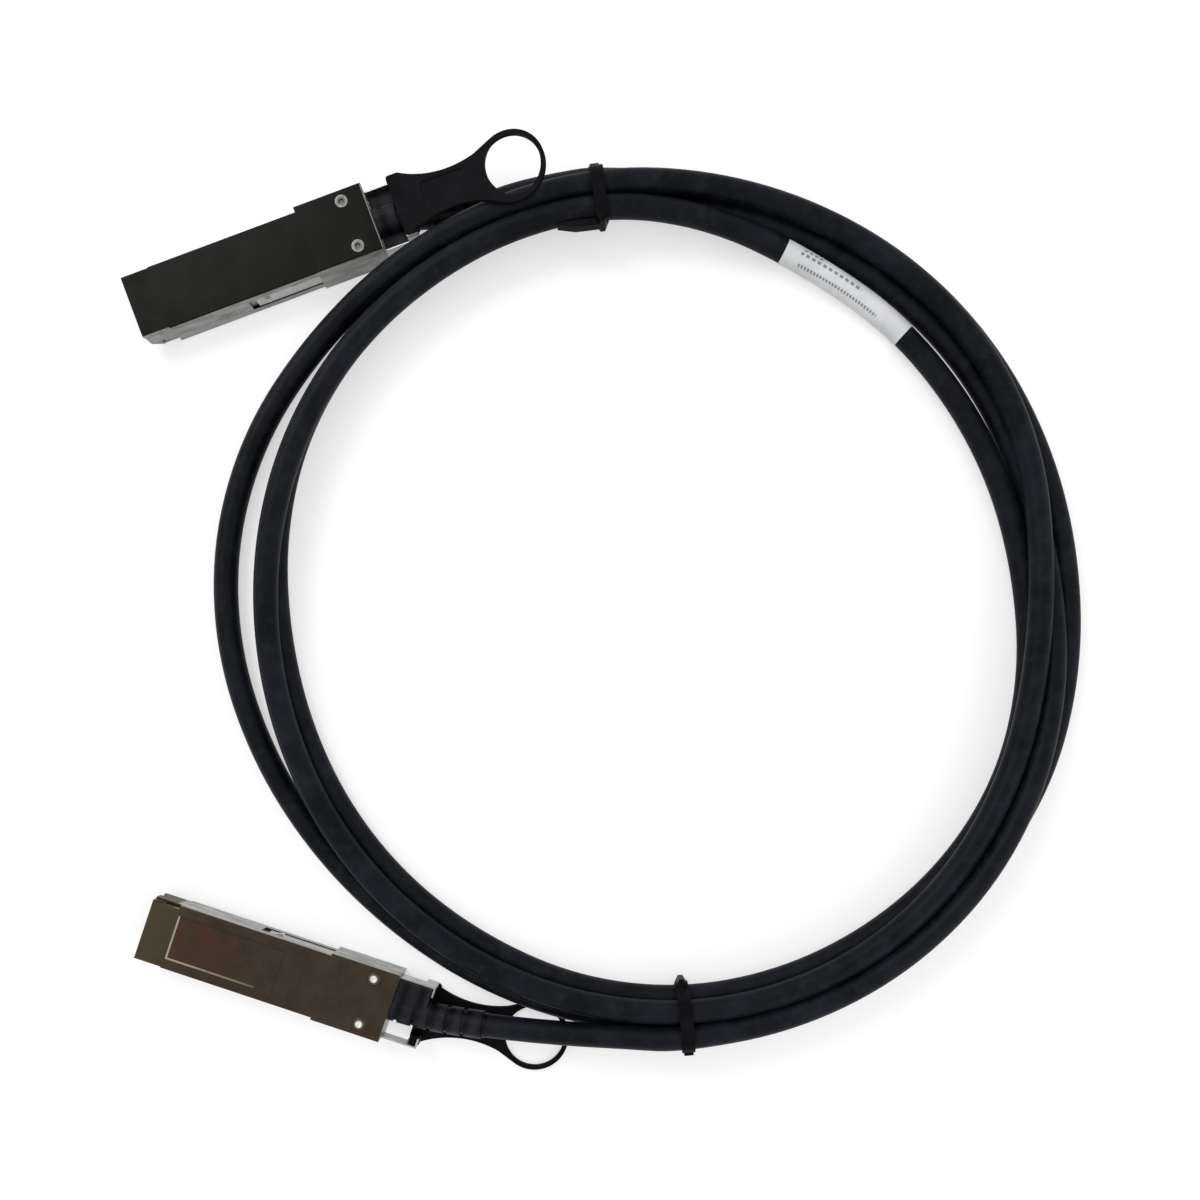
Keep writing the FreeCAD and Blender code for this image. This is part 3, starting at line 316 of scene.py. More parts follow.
class Nodes:
    """A shader tree and the calls that add nodes to it."""

    def __init__(self, tree):
        self.tree = tree

    def plug_in(self, socket, value):
        if isinstance(value, Channel):
            self.tree.links.new(value.socket, socket)
        elif isinstance(value, (tuple, list)) and len(value) == 3 and socket.type == "RGBA":
            socket.default_value = (*value, 1)
        else:
            socket.default_value = value

    def node(self, kind, settings=None, *values, output=0, **named):
        """Adds a node: its settings first, then its sockets by order or by name."""
        node = self.tree.nodes.new(kind)
        for key, value in (settings or {}).items():
            setattr(node, key, value)
        for index, value in enumerate(values):
            self.plug_in(node.inputs[index], value)
        for key, value in named.items():
            self.plug_in(node.inputs[key.replace("_", " ")], value)
        return Channel(self, node.outputs[output])

    def maths(self, operation, *values):
        return self.node("ShaderNodeMath", {"operation": operation}, *values)

    def place(self, matrix=None):
        """Object coordinates in metres, or in the axes that a matrix gives."""
        place = self.node("ShaderNodeTexCoord", output=3)
        if matrix is None:
            return place
        inverse = matrix.inverted()
        return self.node("ShaderNodeMapping", {}, place, inverse.to_translation(),
                         inverse.to_euler())

    def seen(self):
        """1 for the rays that show a backdrop, straight or in metal and glass, and 0 for light."""
        node = self.tree.nodes.new("ShaderNodeLightPath")
        camera, glossy, glass = (Channel(self, node.outputs["Is %s Ray" % ray])
                                 for ray in ("Camera", "Glossy", "Transmission"))
        return camera + glossy + glass

    def axis(self, place, name):
        return self.node("ShaderNodeSeparateXYZ", {}, place, output="XYZ".index(name))

    def noise(self, place, size, detail=3.0, rough=0.5, stretch=None):
        """Cloudy noise whose lumps are about size metres across."""
        if stretch:
            place = self.node("ShaderNodeMapping", {}, place, (0, 0, 0), (0, 0, 0), stretch)
        return self.node("ShaderNodeTexNoise", {}, Vector=place, Scale=1 / size, Detail=detail,
                         Roughness=rough)

    def between(self, value, low, high, start=0.0, end=1.0):
        """A value between low and high turned into one between start and end."""
        return self.node("ShaderNodeMapRange", {}, value, low, high, start, end)

    def within(self, value, low, high):
        """1 where a value lies between low and high, and 0 elsewhere."""
        return (value > low) * (value < high)

    def mix(self, share, one, other):
        """One colour that turns into the other as the share goes from 0 to 1."""
        mixed = self.node("ShaderNodeMix", {"data_type": "RGBA", "blend_type": "MIX"}, output=2)
        inputs = mixed.socket.node.inputs
        for index, value in ((0, share), (6, one), (7, other)):    # the colours' own sockets
            self.plug_in(inputs[index], value)
        return mixed

    def bump(self, height, distance, strength=1.0, normal=None):
        named = {"Height": height, "Distance": distance, "Strength": strength}
        if normal is not None:
            named["Normal"] = normal
        return self.node("ShaderNodeBump", {}, **named)


class Finish(Nodes):
    """A material."""

    def __init__(self, name):
        self.material = bpy.data.materials.new(name)
        self.material.use_nodes = True
        super().__init__(self.material.node_tree)
        self.shader = self.tree.nodes["Principled BSDF"]

    def surface(self, **named):
        """Sets the shader's own sockets."""
        for key, value in named.items():
            self.plug_in(self.shader.inputs[key.replace("_", " ")], value)
        return self.material


# ---------------------------------------------------------------- finishes
def scaled(colour, share, more=0.0):
    """A colour made darker or paler."""
    return tuple(part * share + more for part in colour)


def jacket_finish(look):
    """Soft dark plastic with pale patches and scuffs."""
    f = Finish("cable_jacket")
    place = f.place()
    cloud = f.noise(place, 0.02, 2)
    grain = f.noise(place, 0.0006, 4, 0.6)
    scuff = f.noise(place, 0.004, 4, 0.65)
    patch = f.noise(place, 0.008, 4, 0.65)
    dark = tuple(look.jacket_colour)
    pale = f.between(cloud, 0.35, 0.65) * 0.45 + f.between(patch, 0.42, 0.68) * 0.55
    colour = f.mix(pale, dark, scaled(dark, 4.5))
    wear_and_painted_highlight = tuple(part * share for part, share in zip(dark, (6.5, 6.5, 5.0)))
    colour = f.mix(f.between(scuff, 0.52, 0.70) * 0.35, colour, wear_and_painted_highlight)
    worn = f.between(scuff, 0.5, 0.8, 0.0, 0.10)
    return f.surface(Base_Color=colour, Roughness=look.jacket_roughness + worn,
                     Specular_IOR_Level=0.08,
                     Normal=f.bump(grain, 0.00004, 0.5, f.bump(scuff, 0.0003, 0.45)))


def nickel_finish(name, matrix, face, nose, wall, field=None, rim=0.0):
    """Plated die casting with painted reflection: dark on its flat faces and bright on its walls,
    by which way each face points.
    """
    f = Finish(name)
    place = f.place(matrix)
    normal = f.node("ShaderNodeNewGeometry", output=1)
    upright = abs(f.axis(normal, "Z"))
    # share of painted dark reflection: 1 where a face points up or down, 0 on the walls
    flat = f.between(upright, 0.3, 0.6)
    grain = f.noise(place, 0.0007, 5, 0.7)
    cloud = f.noise(place, 0.006, 3, 0.6)
    streak = f.noise(place, 0.002, 3, 0.6, stretch=(0.25, 1, 1))
    along = f.axis(place, "X")
    near_nose = f.between(along, 0.004, 0.016, 1.0, 0.0)
    dark = f.mix(f.between(cloud, 0.3, 0.7), face, scaled(face, 1.5))
    dark = f.mix(near_nose * 0.8, dark, nose)
    dark = f.mix(f.between(grain, 0.58, 0.75) * 0.35, dark, scaled(face, 3, 0.006))
    marks = f.noise(place, 0.0035, 4, 0.7, stretch=(0.6, 1, 1))
    bright = f.mix(f.between(streak, 0.35, 0.7), wall, scaled(wall, 0.5))
    bright = f.mix(f.between(marks, 0.60, 0.68) * 0.6, bright, scaled(wall, 0.2))
    if field:
        # the shallow field's floor is redder, and two of its sloped edges shine
        across = f.axis(place, "Y")
        inside = f.within(along, FIELD_FROM, FIELD_TO) * (abs(across) < FIELD_HALF)
        fade = f.between(along, 0.020, FIELD_TO, 1.0, 0.0)
        dark = f.mix(inside * fade * f.between(cloud, 0.3, 0.6), dark, field)
        edge = FIELD_HALF + 0.3 * MM
        front = (f.within(along, FIELD_FROM - 0.35 * MM, FIELD_FROM + 0.1 * MM)
                 * (abs(across) < edge))
        near = (f.within(along, FIELD_FROM - 0.2 * MM, FIELD_TO)
                * f.within(across, edge - 0.4 * MM, edge))
        fading = f.between(along, 0.018, 0.036, 1.0, 0.35) * f.between(streak, 0.3, 0.5, 0.5, 1.0)
        dark = f.mix(front + near * fading, dark, (0.26, 0.24, 0.19))
        bright = f.mix(f.between(along, 0.0060, 0.0068, 1.0, 0.0), bright, nose)
    # a pale line painted along the back edge of the faces: a painted highlight
    if rim:
        dark = f.mix((along > PLUG_LENGTH - rim) * 0.9, dark, (0.20, 0.20, 0.19))
    # painted reflection: the faces' dark colour and the walls' bright colour, split by facing
    colour = f.mix(flat, bright, dark)
    rough = f.between(cloud, 0.3, 0.7, 0.30, 0.42) + grain * 0.1
    return f.surface(Base_Color=colour, Metallic=0.9, Roughness=rough,
                     Normal=f.bump(grain, 0.00005, 0.35))


def steel_finish(name, colour, rough):
    """Stamped steel, brushed one way."""
    f = Finish(name)
    place = f.place()
    brushed = f.noise(place, 0.0008, 3, 0.6, stretch=(1, 0.2, 1))
    spots = f.noise(place, 0.003, 3, 0.6)
    shade = f.mix(f.between(spots, 0.35, 0.7), colour, scaled(colour, 0.72))
    return f.surface(Base_Color=shade, Metallic=1.0, Roughness=rough + brushed * 0.15,
                     Normal=f.bump(brushed, 0.00002, 0.3))


def rivet_finish(name, matrix, colour, painted_middle):
    """Rolled steel with a painted middle in each head: painted shade in the hollow on plug A, a
    painted glint on plug B.
    """
    f = Finish(name)
    place = f.place(matrix)
    across = abs(f.axis(place, "Y")) - RIVET_Y
    along = f.axis(place, "X") - RIVET_X
    out = f.maths("SQRT", across * across + along * along)
    middle = f.between(out, RIVET_HEAD * 0.42, RIM_RADIUS, 1.0, 0.0)
    spots = f.noise(place, 0.0012, 3, 0.6)
    worn = f.mix(f.between(spots, 0.35, 0.7), colour, scaled(colour, 0.7))
    # painted shade or painted glint in the middle of each head, as the plug's colour gives
    shade = f.mix(middle * f.between(spots, 0.3, 0.45, 0.6, 1.0), worn, painted_middle)
    return f.surface(Base_Color=shade, Metallic=0.9, Roughness=0.3 + spots * 0.15,
                     Normal=f.bump(spots, 0.00004, 0.3))


def moulded_finish(name, colour, rough):
    """Moulded nylon with a fine texture."""
    f = Finish(name)
    place = f.place()
    grain = f.noise(place, 0.0004, 3, 0.6)
    cloud = f.noise(place, 0.007, 3, 0.5)
    shade = f.mix(f.between(cloud, 0.35, 0.7), colour, scaled(colour, 1.6, 0.002))
    return f.surface(Base_Color=shade, Roughness=rough + cloud * 0.12,
                     Specular_IOR_Level=0.03, Normal=f.bump(grain, 0.00003, 0.6))


def boot_finish(name, matrix, colour):
    """Soft rubber with a painted highlight along the middle of each segment and painted shade in
    its grooves.
    """
    f = Finish(name)
    place = f.place(matrix)
    grain = f.noise(place, 0.0005, 3, 0.6)
    cloud = f.noise(place, 0.003, 3, 0.6)
    step = f.maths("FRACT", (f.axis(place, "X") - BOOT_FIRST_END) / BOOT_PITCH)
    off_middle = abs(step - 0.5)
    # painted highlight along the middle of each rib
    wear_and_painted_highlight = f.between(off_middle, 0.12, 0.36, 1.0, 0.0) * f.between(cloud, 0.3, 0.6, 0.45, 1.0)
    # painted shade in the grooves between the ribs
    painted_groove_shade = f.between(off_middle, 0.38, 0.43)
    shade = f.mix(wear_and_painted_highlight, colour, (0.016, 0.018, 0.024))
    shade = f.mix(painted_groove_shade * 0.85, shade, scaled(colour, 0.2))
    return f.surface(Base_Color=shade, Roughness=0.36 + cloud * 0.12, Specular_IOR_Level=0.11,
                     Normal=f.bump(grain, 0.00003, 0.6))


def film_finish(look):
    """White film with soft creases, painted shade where they are, and rows of plain bars."""
    f = Finish("label_film")
    place = f.place()
    crease = f.noise(place, 0.006, 3, 0.6)
    white = tuple(look.label_colour)
    # darker where the crease noise is high: painted shade in the creases
    shade = f.mix(f.between(crease, 0.4, 0.7), white, scaled(white, 0.86))
    # plain bars in rows that follow the turn, where such a film has its print
    x = f.axis(place, "X") - COIL_CENTRE.x
    y = f.axis(place, "Y") - COIL_CENTRE.y
    turn = f.maths("ARCTAN2", y, x) / math.radians(1)
    row = f.maths("SQRT", x * x + y * y) - f.between(turn, LABEL_TO, LABEL_FROM, *LABEL_RADII)
    ink = 0.0
    for offset, width, start, end, pitch in LABEL_ROWS:
        dash = f.maths("FRACT", turn / pitch)
        ink = ink + (f.between(abs(row - offset * MM), width * 0.35 * MM, width * 0.65 * MM, 1, 0)
                     * f.between(abs(dash - 0.5), 0.24, 0.38, 1.0, 0.0)
                     * f.within(turn, start, end))
    shade = f.mix(ink * 0.75, shade, (0.07, 0.07, 0.08))
    return f.surface(Base_Color=shade, Roughness=0.35, Normal=f.bump(crease, 0.0002, 0.5))


def plain_finish(name, colour, metal, rough):
    """One colour, a little cloudy, for what is hidden."""
    f = Finish(name)
    cloud = f.noise(f.place(), 0.0015, 3, 0.6)
    shade = f.mix(f.between(cloud, 0.3, 0.7), colour, scaled(colour, 0.7))
    return f.surface(Base_Color=shade, Metallic=metal, Roughness=rough + cloud * 0.1)


# ---------------------------------------------------------------- pieces from the frame
def add_object(name, data):
    obj = bpy.data.objects.new(name, data)
    bpy.context.scene.collection.objects.link(obj)
    return obj


def body_of_node(node):
    return frame["nodes"][node]["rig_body"]


def square_nose(matrix):
    """Brings the bevels round a plug's nose out to a short straight lip."""
    inverse = matrix.inverted()

    def shape(work):
        for vertex in work.verts:
            place = inverse @ vertex.co
            under, flank = (abs(place.x / reach + place.z / rise - 1) < NOSE_NEAR
                            for reach, rise in (NOSE_CHAMFER, NOSE_FLANK))
            if under or (flank and abs(place.y) > NOSE_HALF - NOSE_BEVEL - 0.02 * MM):
                lip = max(0, NOSE_LIP * (1 - place.z / NOSE_CHAMFER[1]))
                vertex.co = matrix @ Vector((lip, place.y, place.z))
        bmesh.ops.dissolve_degenerate(work, dist=WELD, edges=work.edges)
        bmesh.ops.remove_doubles(work, verts=work.verts, dist=WELD)
    return shape


def dark_block_behind_grip(side):
    """A dark block in the boot's mesh, between the latch arms behind the plug's grip."""
    lows, highs = zip((DARK_BLOCK_FROM, DARK_BLOCK_TO), DARK_BLOCK_SIDES[side], DARK_BLOCK_HEIGHTS)

    def shape(work):
        for vertex in bmesh.ops.create_cube(work, size=1)["verts"]:
            vertex.co = PLUGS[side] @ Vector([
                low + (high - low) * (part + 0.5)
                for part, low, high in zip(vertex.co, lows, highs)])
    return shape


def shifted_hole(matrix):
    """The finger hole set off centre, with more strap on the side towards the plug."""
    strap = (matrix @ Matrix.Translation((STRAP_START, 0, TAB_BOTTOM))
             @ Matrix.Rotation(TAB_YAW, 4, "Z") @ Matrix.Rotation(-TAB_PITCH, 4, "Y"))
    inverse = strap.inverted()

    def shape(work):
        for vertex in work.verts:
            place = inverse @ vertex.co
            out = Vector((place.x - RING_CENTRE, place.y))
            if abs(out.length - RING_INNER) < 0.1 * MM:
                facing = math.cos(math.atan2(out.y, out.x) - RING_SIDE)
                out.length -= RING_SHIFT * max(0.0, facing) ** 1.5
                vertex.co = strap @ Vector((RING_CENTRE + out.x, out.y, place.z))
    return shape


def tuck(work):
    """Presses what stands proud on the outside of the coil closer to it."""
    centre = COIL_CENTRE.xy
    limit = max((vertex.co.xy - centre).length for vertex in work.verts) - TUCK_DEPTH
    for vertex in work.verts:
        away = vertex.co.xy - centre
        if away.length > limit:
            short = centre + away.normalized() * (limit + (away.length - limit) * TUCK_SHARE)
            vertex.co = (short.x, short.y, vertex.co.z)


def dress(node, name, material, edge=EASED_EDGE, shape=None):
    """A merged copy of a CAD node with eased edges, which stands for it."""
    mesh = frame["nodes"][node].data.copy()
    mesh.name = name
    work = bmesh.new()
    work.from_mesh(mesh)
    bmesh.ops.remove_doubles(work, verts=work.verts, dist=WELD)
    if shape:
        shape(work)
    bmesh.ops.dissolve_limit(work, angle_limit=math.radians(1.0), verts=work.verts,
                             edges=work.edges)
    work.to_mesh(mesh)
    work.free()
    mesh.materials.clear()
    mesh.materials.append(material)
    piece = add_object(name, mesh)
    if edge:
        ease = piece.modifiers.new("eased_edges", "BEVEL")
        ease.width = edge
        ease.segments = 2
        ease.limit_method = "ANGLE"
        ease.angle_limit = math.radians(EASED_ANGLE)
        ease.use_clamp_overlap = True
        ease.harden_normals = False
    piece.data.shade_smooth()
    set_sharp(piece.data, EASED_ANGLE)
    settle(piece)
    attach(piece, body_of_node(node))
    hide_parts(node)
    return piece


def set_sharp(mesh, angle):
    """Edges that turn by more than an angle in degrees show sharp, and so do open ones."""
    work = bmesh.new()
    work.from_mesh(mesh)
    limit = math.radians(angle)
    for edge in work.edges:
        edge.smooth = len(edge.link_faces) == 2 and edge.calc_face_angle(0) < limit
    work.to_mesh(mesh)
    work.free()


def settle(piece):
    """Turns what the modifiers make into the piece's own mesh."""
    graph = bpy.context.evaluated_depsgraph_get()
    mesh = bpy.data.meshes.new_from_object(piece.evaluated_get(graph))
    piece.modifiers.clear()
    piece.data = mesh


def paint(node, material):
    """A finish for a CAD node that is shown as it is."""
    mesh = frame["nodes"][node].data
    mesh.materials.clear()
    mesh.materials.append(material)


# ---------------------------------------------------------------- repeats and paths
class Recipe:
    """A Geometry Nodes tree with named inputs, run once on a piece and turned into its mesh."""

    def __init__(self, name):
        self.tree = bpy.data.node_groups.new(name, "GeometryNodeTree")
        for way in ("INPUT", "OUTPUT"):
            self.tree.interface.new_socket("Geometry", in_out=way,
                                           socket_type="NodeSocketGeometry")
        self.start = self.tree.nodes.new("NodeGroupInput")
        self.finish = self.tree.nodes.new("NodeGroupOutput")
        self.values = {}

    def size(self, name, value):
        """A named input and its value."""
        kind = "NodeSocketInt" if isinstance(value, int) else "NodeSocketFloat"
        socket = self.tree.interface.new_socket(name, in_out="INPUT", socket_type=kind)
        self.values[socket.identifier] = value
        return self.start.outputs[name]

    def node(self, kind, settings=None, **named):
        """Adds a node: its settings first, then its sockets by name."""
        node = self.tree.nodes.new(kind)
        for key, value in (settings or {}).items():
            setattr(node, key, value)
        for key, value in named.items():
            socket = node.inputs[key.replace("_", " ")]
            if isinstance(value, bpy.types.NodeSocket):
                self.tree.links.new(value, socket)
            else:
                socket.default_value = value
        return node.outputs[0]

    def make(self, piece, geometry, material):
        """Ends the tree, runs it on the piece and leaves a plain mesh."""
        real = self.node("GeometryNodeRealizeInstances", Geometry=geometry)
        done = self.node("GeometryNodeSetMaterial", Geometry=real, Material=material)
        self.tree.links.new(done, self.finish.inputs[0])
        modifier = piece.modifiers.new(self.tree.name, "NODES")
        modifier.node_group = self.tree
        for identifier, value in self.values.items():
            modifier[identifier] = value
        settle(piece)


def rivet_rims(side, matrix, material):
    """The rolled rims of a plug's tubular rivets, on both of its faces."""
    recipe = Recipe("rivet_rims_" + side)
    rim = recipe.node("GeometryNodeCurvePrimitiveCircle", {"mode": "RADIUS"}, Resolution=32,
                      Radius=recipe.size("Rim radius", RIM_RADIUS))
    round_edge = recipe.node("GeometryNodeCurvePrimitiveCircle", {"mode": "RADIUS"},
                             Resolution=10,
                             Radius=recipe.size("Rim thickness", RIM_THICKNESS))
    ring = recipe.node("GeometryNodeCurveToMesh", Curve=rim, Profile_Curve=round_edge)
    smooth = recipe.node("GeometryNodeSetShadeSmooth", Geometry=ring)
    rims = recipe.node("GeometryNodeInstanceOnPoints", Points=recipe.start.outputs[0],
                       Instance=smooth)
    mesh = bpy.data.meshes.new("rivet_rims_" + side)
    mesh.from_pydata([(RIVET_X, y, z) for y in (-RIVET_Y, RIVET_Y)
                      for z in (RIM_DEPTH, GRIP_HEIGHT - RIM_DEPTH)], [], [])
    piece = add_object("plug_%s_rivet_rims" % side, mesh)
    recipe.make(piece, rims, material)
    piece.data.transform(matrix)
    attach(piece, body_of_node("shell_rivets_" + side))


def lay_spline(line):
    """Makes a curve the cable's route, as one smooth spline."""
    line.dimensions = "3D"
    line.resolution_u = ROUTE_STEPS
    points = cable_controls()
    spline = line.splines.new("NURBS")
    spline.points.add(len(points) - 1)
    for point, place in zip(spline.points, points):
        point.co = (*place, 1)
    spline.order_u = 3
    spline.use_endpoint_u = True
    spline.use_smooth = True
    return points


def route_line():
    """Points along the cable's own spline, in order."""
    line = bpy.data.curves.new("route", "CURVE")
    lay_spline(line)
    route = add_object("route", line)
    mesh = bpy.data.meshes.new_from_object(route)
    points = [vertex.co.copy() for vertex in mesh.vertices]
    bpy.data.objects.remove(route)
    return points


def label_sleeve(material):
    """The film wrapped round the innermost turn, which follows the cable."""
    route = route_line()
    ends = []
    for angle in (LABEL_FROM, LABEL_TO):
        place = coil_point(angle, *lay_at(angle + LABEL_TURN))
        ends.append(min(range(len(route)), key=lambda index: (route[index] - place).length))
    points = route[ends[0]:ends[1] + 1]
    mesh = bpy.data.meshes.new("cable_label_film")
    mesh.from_pydata(points, [(index, index + 1) for index in range(len(points) - 1)], [])
    piece = add_object("cable_label_film", mesh)
    recipe = Recipe("label_sleeve")
    line = recipe.node("GeometryNodeMeshToCurve", Mesh=recipe.start.outputs[0])
    section = recipe.node("GeometryNodeCurvePrimitiveCircle", {"mode": "RADIUS"}, Resolution=48,
                          Radius=recipe.size("Sleeve radius", LABEL_RADIUS))
    sleeve = recipe.node("GeometryNodeCurveToMesh", Curve=line, Profile_Curve=section,
                         Fill_Caps=True)
    recipe.make(piece, sleeve, material)
    piece.data.shade_smooth()
    set_sharp(piece.data, LABEL_SHARP_ANGLE)
    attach(piece, body_of_node("cable_label"))
    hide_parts("cable_label")


# ---------------------------------------------------------------- settings
class CableLook(PropertyGroup):
    jacket_colour: FloatVectorProperty(
        name="Jacket colour", description="Colour of the cable's outer jacket",
        subtype="COLOR", default=(0.0024, 0.0029, 0.0043), min=0, max=1)
    jacket_roughness: FloatProperty(
        name="Jacket roughness", description="How dull the jacket is",
        subtype="FACTOR", default=0.44, min=0, max=1)
    label_colour: FloatVectorProperty(
        name="Label colour", description="Colour of the wrapped label film",
        subtype="COLOR", default=(0.78, 0.79, 0.80), min=0, max=1)


# the flat faces' dark colours and the walls' bright colour are painted reflection, split in the
# shells by which way a face points
class PlugLook(PropertyGroup):
    face_a: FloatVectorProperty(
        name="Plug A face", description="Colour of the flat faces of plug A",
        subtype="COLOR", default=(0.0028, 0.0032, 0.0024), min=0, max=1)
    face_b: FloatVectorProperty(
        name="Plug B face", description="Colour of the flat faces of plug B",
        subtype="COLOR", default=(0.035, 0.025, 0.0175), min=0, max=1)
    wall: FloatVectorProperty(
        name="Plug walls", description="Colour of the bright side walls",
        subtype="COLOR", default=(0.43, 0.43, 0.42), min=0, max=1)
    moulding: FloatVectorProperty(
        name="Moulded parts", description="Colour of boots, tabs and ties",
        subtype="COLOR", default=(0.0040, 0.0040, 0.0050), min=0, max=1)


class StageLook(PropertyGroup):
    camera_height: FloatProperty(
        name="Camera height", description="Height of the camera above the table",
        subtype="DISTANCE", unit="LENGTH", default=0.284, min=0.05)
    lens: FloatProperty(
        name="Lens", description="Focal length for a 36 mm wide frame",
        default=29.43, min=10, max=200)
    floor_colour: FloatVectorProperty(
        name="Floor colour", description="Colour of the table top",
        subtype="COLOR", default=(0.60, 0.60, 0.60), min=0, max=1)
    backdrop_glow: FloatProperty(
        name="Backdrop glow", description="White that the table top shows beside its own colour",
        subtype="FACTOR", default=0.54, min=0, max=1)


# ---------------------------------------------------------------- operators
class DATACABLE_OT_jacket(Operator):
    """Lays the cable from one plug round the coil to the other."""
    bl_idname = "data_cable.jacket"
    bl_label = "Cable"

    def execute(self, context):
        look = context.scene.cable_look
        line = bpy.data.curves.new("cable_jacket", "CURVE")
        line.bevel_depth = CABLE_RADIUS
        line.bevel_resolution = 8
        line.use_fill_caps = True
        points = lay_spline(line)
        line.materials.append(jacket_finish(look))
        cable = add_object("cable_jacket", line)
        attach(cable, "assembly")
        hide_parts("cable_lead_a", "cable_coil", "cable_lead_b")
        return {"FINISHED"}


class DATACABLE_OT_straps(Operator):
    """Dresses the two cable ties and the label."""
    bl_idname = "data_cable.straps"
    bl_label = "Ties and label"

    def execute(self, context):
        tie = moulded_finish("tie_nylon", tuple(context.scene.plug_look.moulding), 0.3)
        for place in ("top", "bottom"):
            dress("cable_tie_" + place, "cable_tie_%s_strap" % place, tie, 0.2 * MM,
                  shape=tuck)
        label_sleeve(film_finish(context.scene.cable_look))
        return {"FINISHED"}


class DATACABLE_OT_shells(Operator):
    """Dresses the plugs' shells and rivets."""
    bl_idname = "data_cable.shells"
    bl_label = "Plug shells"

    def execute(self, context):
        look = context.scene.plug_look
        for side, matrix in PLUGS.items():
            own = SHELLS[side]
            face = tuple(getattr(look, "face_" + side))
            nickel = nickel_finish("plated_shell_" + side, matrix, face, own["nose"] or face,
                                   scaled(look.wall, own["wall"]), own["field"], own["rim"])
            for half in ("lower", "upper"):
                node = "%s_shell_%s" % (half, side)
                dress(node, "plug_%s_%s_shell" % (side, half), nickel,
                      shape=square_nose(matrix) if node == "lower_shell_b" else None)
            rivets = rivet_finish("rivet_steel_" + side, matrix, own["rivet"],
                                  own["rivet_painted_light"])
            dress("shell_rivets_" + side, "plug_%s_rivets" % side, rivets)
            rivet_rims(side, matrix, rivets)
        return {"FINISHED"}


class DATACABLE_OT_latches(Operator):
    """Dresses the latch slides and their springs."""
    bl_idname = "data_cable.latches"
    bl_label = "Latches"

    def execute(self, context):
        steel = steel_finish("latch_steel", (0.44, 0.44, 0.43), 0.24)
        for side, matrix in PLUGS.items():
            dress("latch_slide_" + side, "latch_slide_%s_plate" % side, steel,
                  0.08 * MM)
            springs = dress("latch_springs_" + side, "latch_springs_%s_strip" % side, steel,
                            0)
            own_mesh(springs)
        return {"FINISHED"}


class DATACABLE_OT_tabs(Operator):
    """Dresses the pull tabs and the strain relief boots."""
    bl_idname = "data_cable.tabs"
    bl_label = "Tabs and boots"

    def execute(self, context):
        colour = tuple(context.scene.plug_look.moulding)
        nylon = moulded_finish("tab_nylon", colour, 0.42)
        for side, matrix in PLUGS.items():
            dress("pull_tab_" + side, "pull_tab_%s_strap" % side, nylon, 0.2 * MM,
                  shape=shifted_hole(matrix) if side == "a" else None)
            rubber = boot_finish("boot_rubber_" + side, matrix, colour)
            dress("strain_relief_boot_" + side, "boot_%s_ribs" % side, rubber,
                  0.15 * MM, shape=dark_block_behind_grip(side))
        return {"FINISHED"}


class DATACABLE_OT_insides(Operator):
    """Finishes what is inside the plugs."""
    bl_idname = "data_cable.insides"
    bl_label = "Insides"

    def execute(self, context):
        finishes = {
            "paddle_card": plain_finish("card_laminate", (0.03, 0.14, 0.06), 0.0, 0.4),
            "card_contacts": plain_finish("contact_gold", (0.80, 0.60, 0.22), 1.0, 0.25),
            "card_chip": plain_finish("chip_package", (0.02, 0.02, 0.02), 0.0, 0.5),
            "wire_pairs": plain_finish("wire_insulation", (0.70, 0.71, 0.72), 0.6, 0.35),
            "crimp_ferrule": plain_finish("ferrule_metal", (0.60, 0.60, 0.58), 1.0, 0.35),
        }
        for side in PLUGS:
            for node, finish in finishes.items():
                paint("%s_%s" % (node, side), finish)
        return {"FINISHED"}


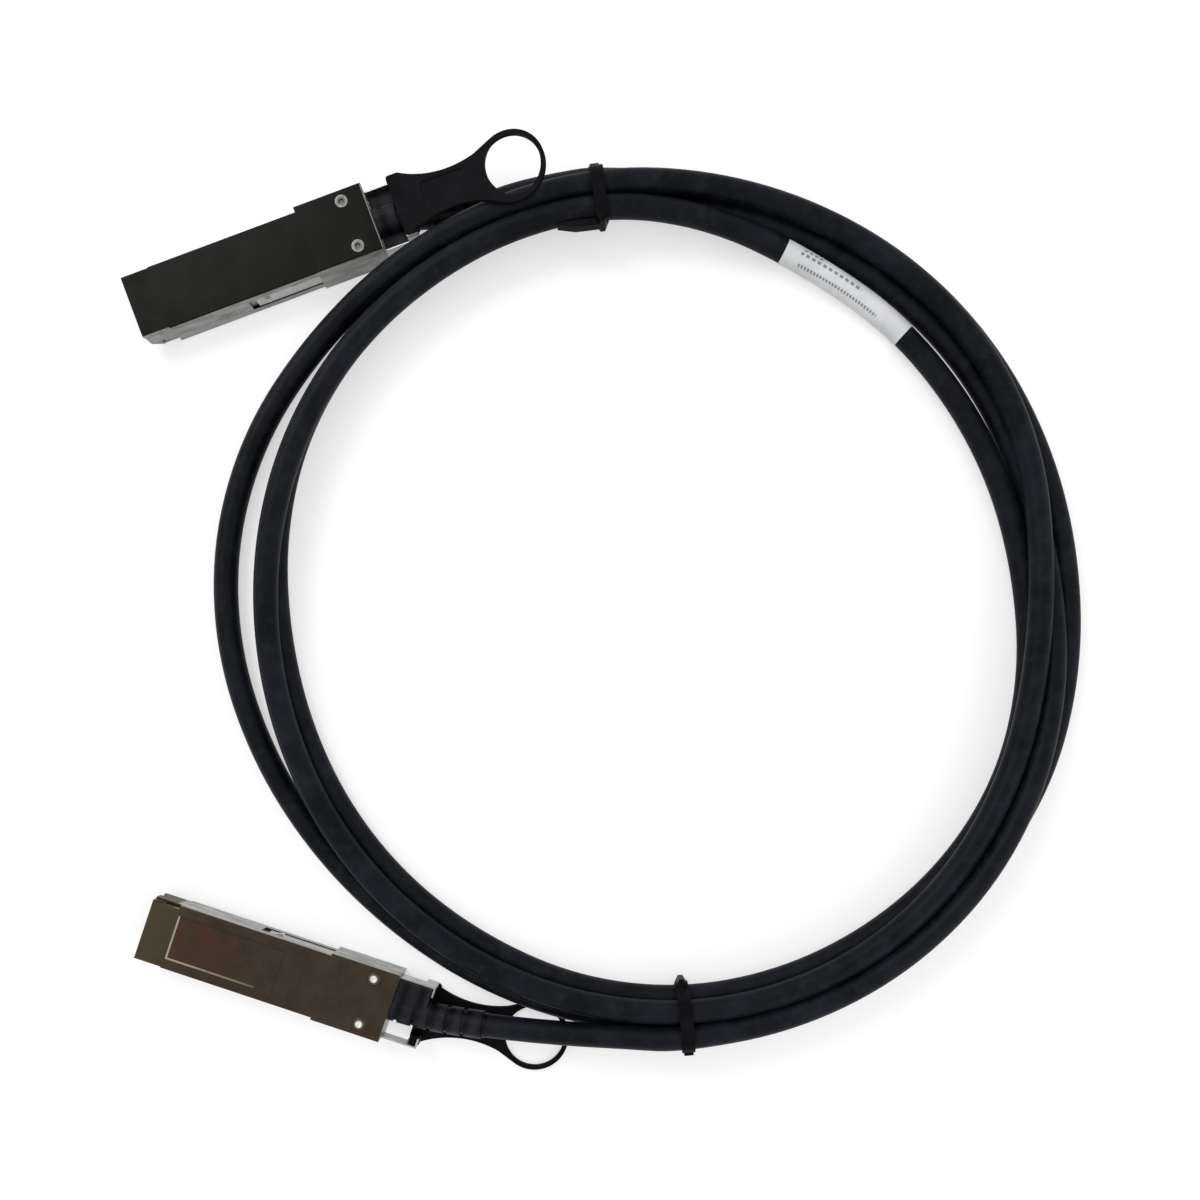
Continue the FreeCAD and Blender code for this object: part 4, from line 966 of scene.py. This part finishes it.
class DATACABLE_OT_stage(Operator):
    """Adds the table top, the lights and the camera."""
    bl_idname = "data_cable.stage"
    bl_label = "Stage"

    def execute(self, context):
        look = context.scene.stage_look
        scene = context.scene
        scene.view_settings.view_transform = "Standard"
        self.floor(look)
        self.lights(scene)
        camera = bpy.data.cameras.new("camera")
        camera.lens = look.lens
        camera.sensor_width = FRAME_WIDTH
        camera.shift_y = CAMERA_SHIFT
        camera.clip_start = 0.01
        eye = add_object("camera", camera)
        eye.location = (*CAMERA_PLACE, look.camera_height)
        scene.camera = eye
        return {"FINISHED"}

    def floor(self, look):
        """A white table top that shows the shadows and lights nothing by itself."""
        mesh = bpy.data.meshes.new("table_top")
        work = bmesh.new()
        bmesh.ops.create_grid(work, x_segments=1, y_segments=1, size=FLOOR_HALF)
        work.to_mesh(mesh)
        work.free()
        f = Finish("table_top")
        glow = f.mix(f.seen(), (0, 0, 0), (look.backdrop_glow,) * 3)
        mesh.materials.append(f.surface(Base_Color=tuple(look.floor_colour), Roughness=0.9,
                                        Specular_IOR_Level=0.1, Emission_Color=glow,
                                        Emission_Strength=1.0))
        floor = add_object("table_top", mesh)
        floor.location.z = CAD_BOX[0][2] - FLOOR_PLAY

    def lights(self, scene):
        """White surroundings and two soft lamps."""
        world = bpy.data.worlds.new("studio")
        world.use_nodes = True
        f = Nodes(world.node_tree)
        background = world.node_tree.nodes["Background"]
        f.plug_in(background.inputs["Color"], (1, 1, 1))
        f.plug_in(background.inputs["Strength"], f.between(f.seen(), 0, 1, WORLD_LIGHT, 1.0))
        scene.world = world
        for name, (place, size, watts) in LAMPS.items():
            lamp = bpy.data.lights.new(name, "AREA")
            lamp.shape = "DISK"
            lamp.size = size
            lamp.energy = watts
            light = add_object(name, lamp)
            light.location = place
            light.rotation_euler = (-Vector(place)).to_track_quat("-Z", "Y").to_euler()


class DATACABLE_PT_panel(Panel):
    """Lists the pieces of the cable bundle."""
    bl_idname = "DATACABLE_PT_panel"
    bl_label = "Data Cable"
    bl_space_type = "VIEW_3D"
    bl_region_type = "UI"
    bl_category = "Data Cable"

    def draw(self, context):
        for look in ("cable_look", "plug_look", "stage_look"):
            box = self.layout.box()
            group = getattr(context.scene, look)
            for name in group.bl_rna.properties.keys():
                if name not in ("rna_type", "name"):
                    box.prop(group, name)
        for operator in OPERATORS:
            self.layout.operator(operator.bl_idname)


OPERATORS = (DATACABLE_OT_straps, DATACABLE_OT_stage, DATACABLE_OT_jacket, DATACABLE_OT_shells,
             DATACABLE_OT_latches, DATACABLE_OT_tabs, DATACABLE_OT_insides)
LOOKS = {"cable_look": CableLook, "plug_look": PlugLook, "stage_look": StageLook}
CLASSES = (*LOOKS.values(), *OPERATORS, DATACABLE_PT_panel)


def register():
    for item in CLASSES:
        bpy.utils.register_class(item)
    for name, look in LOOKS.items():
        setattr(bpy.types.Scene, name, PointerProperty(type=look))


def unregister():
    for name in LOOKS:
        delattr(bpy.types.Scene, name)
    for item in reversed(CLASSES):
        bpy.utils.unregister_class(item)


def main():
    register()
    for operator in OPERATORS:
        group, action = operator.bl_idname.split(".")
        getattr(getattr(bpy.ops, group), action)()


if __name__ == "__main__":
    main()
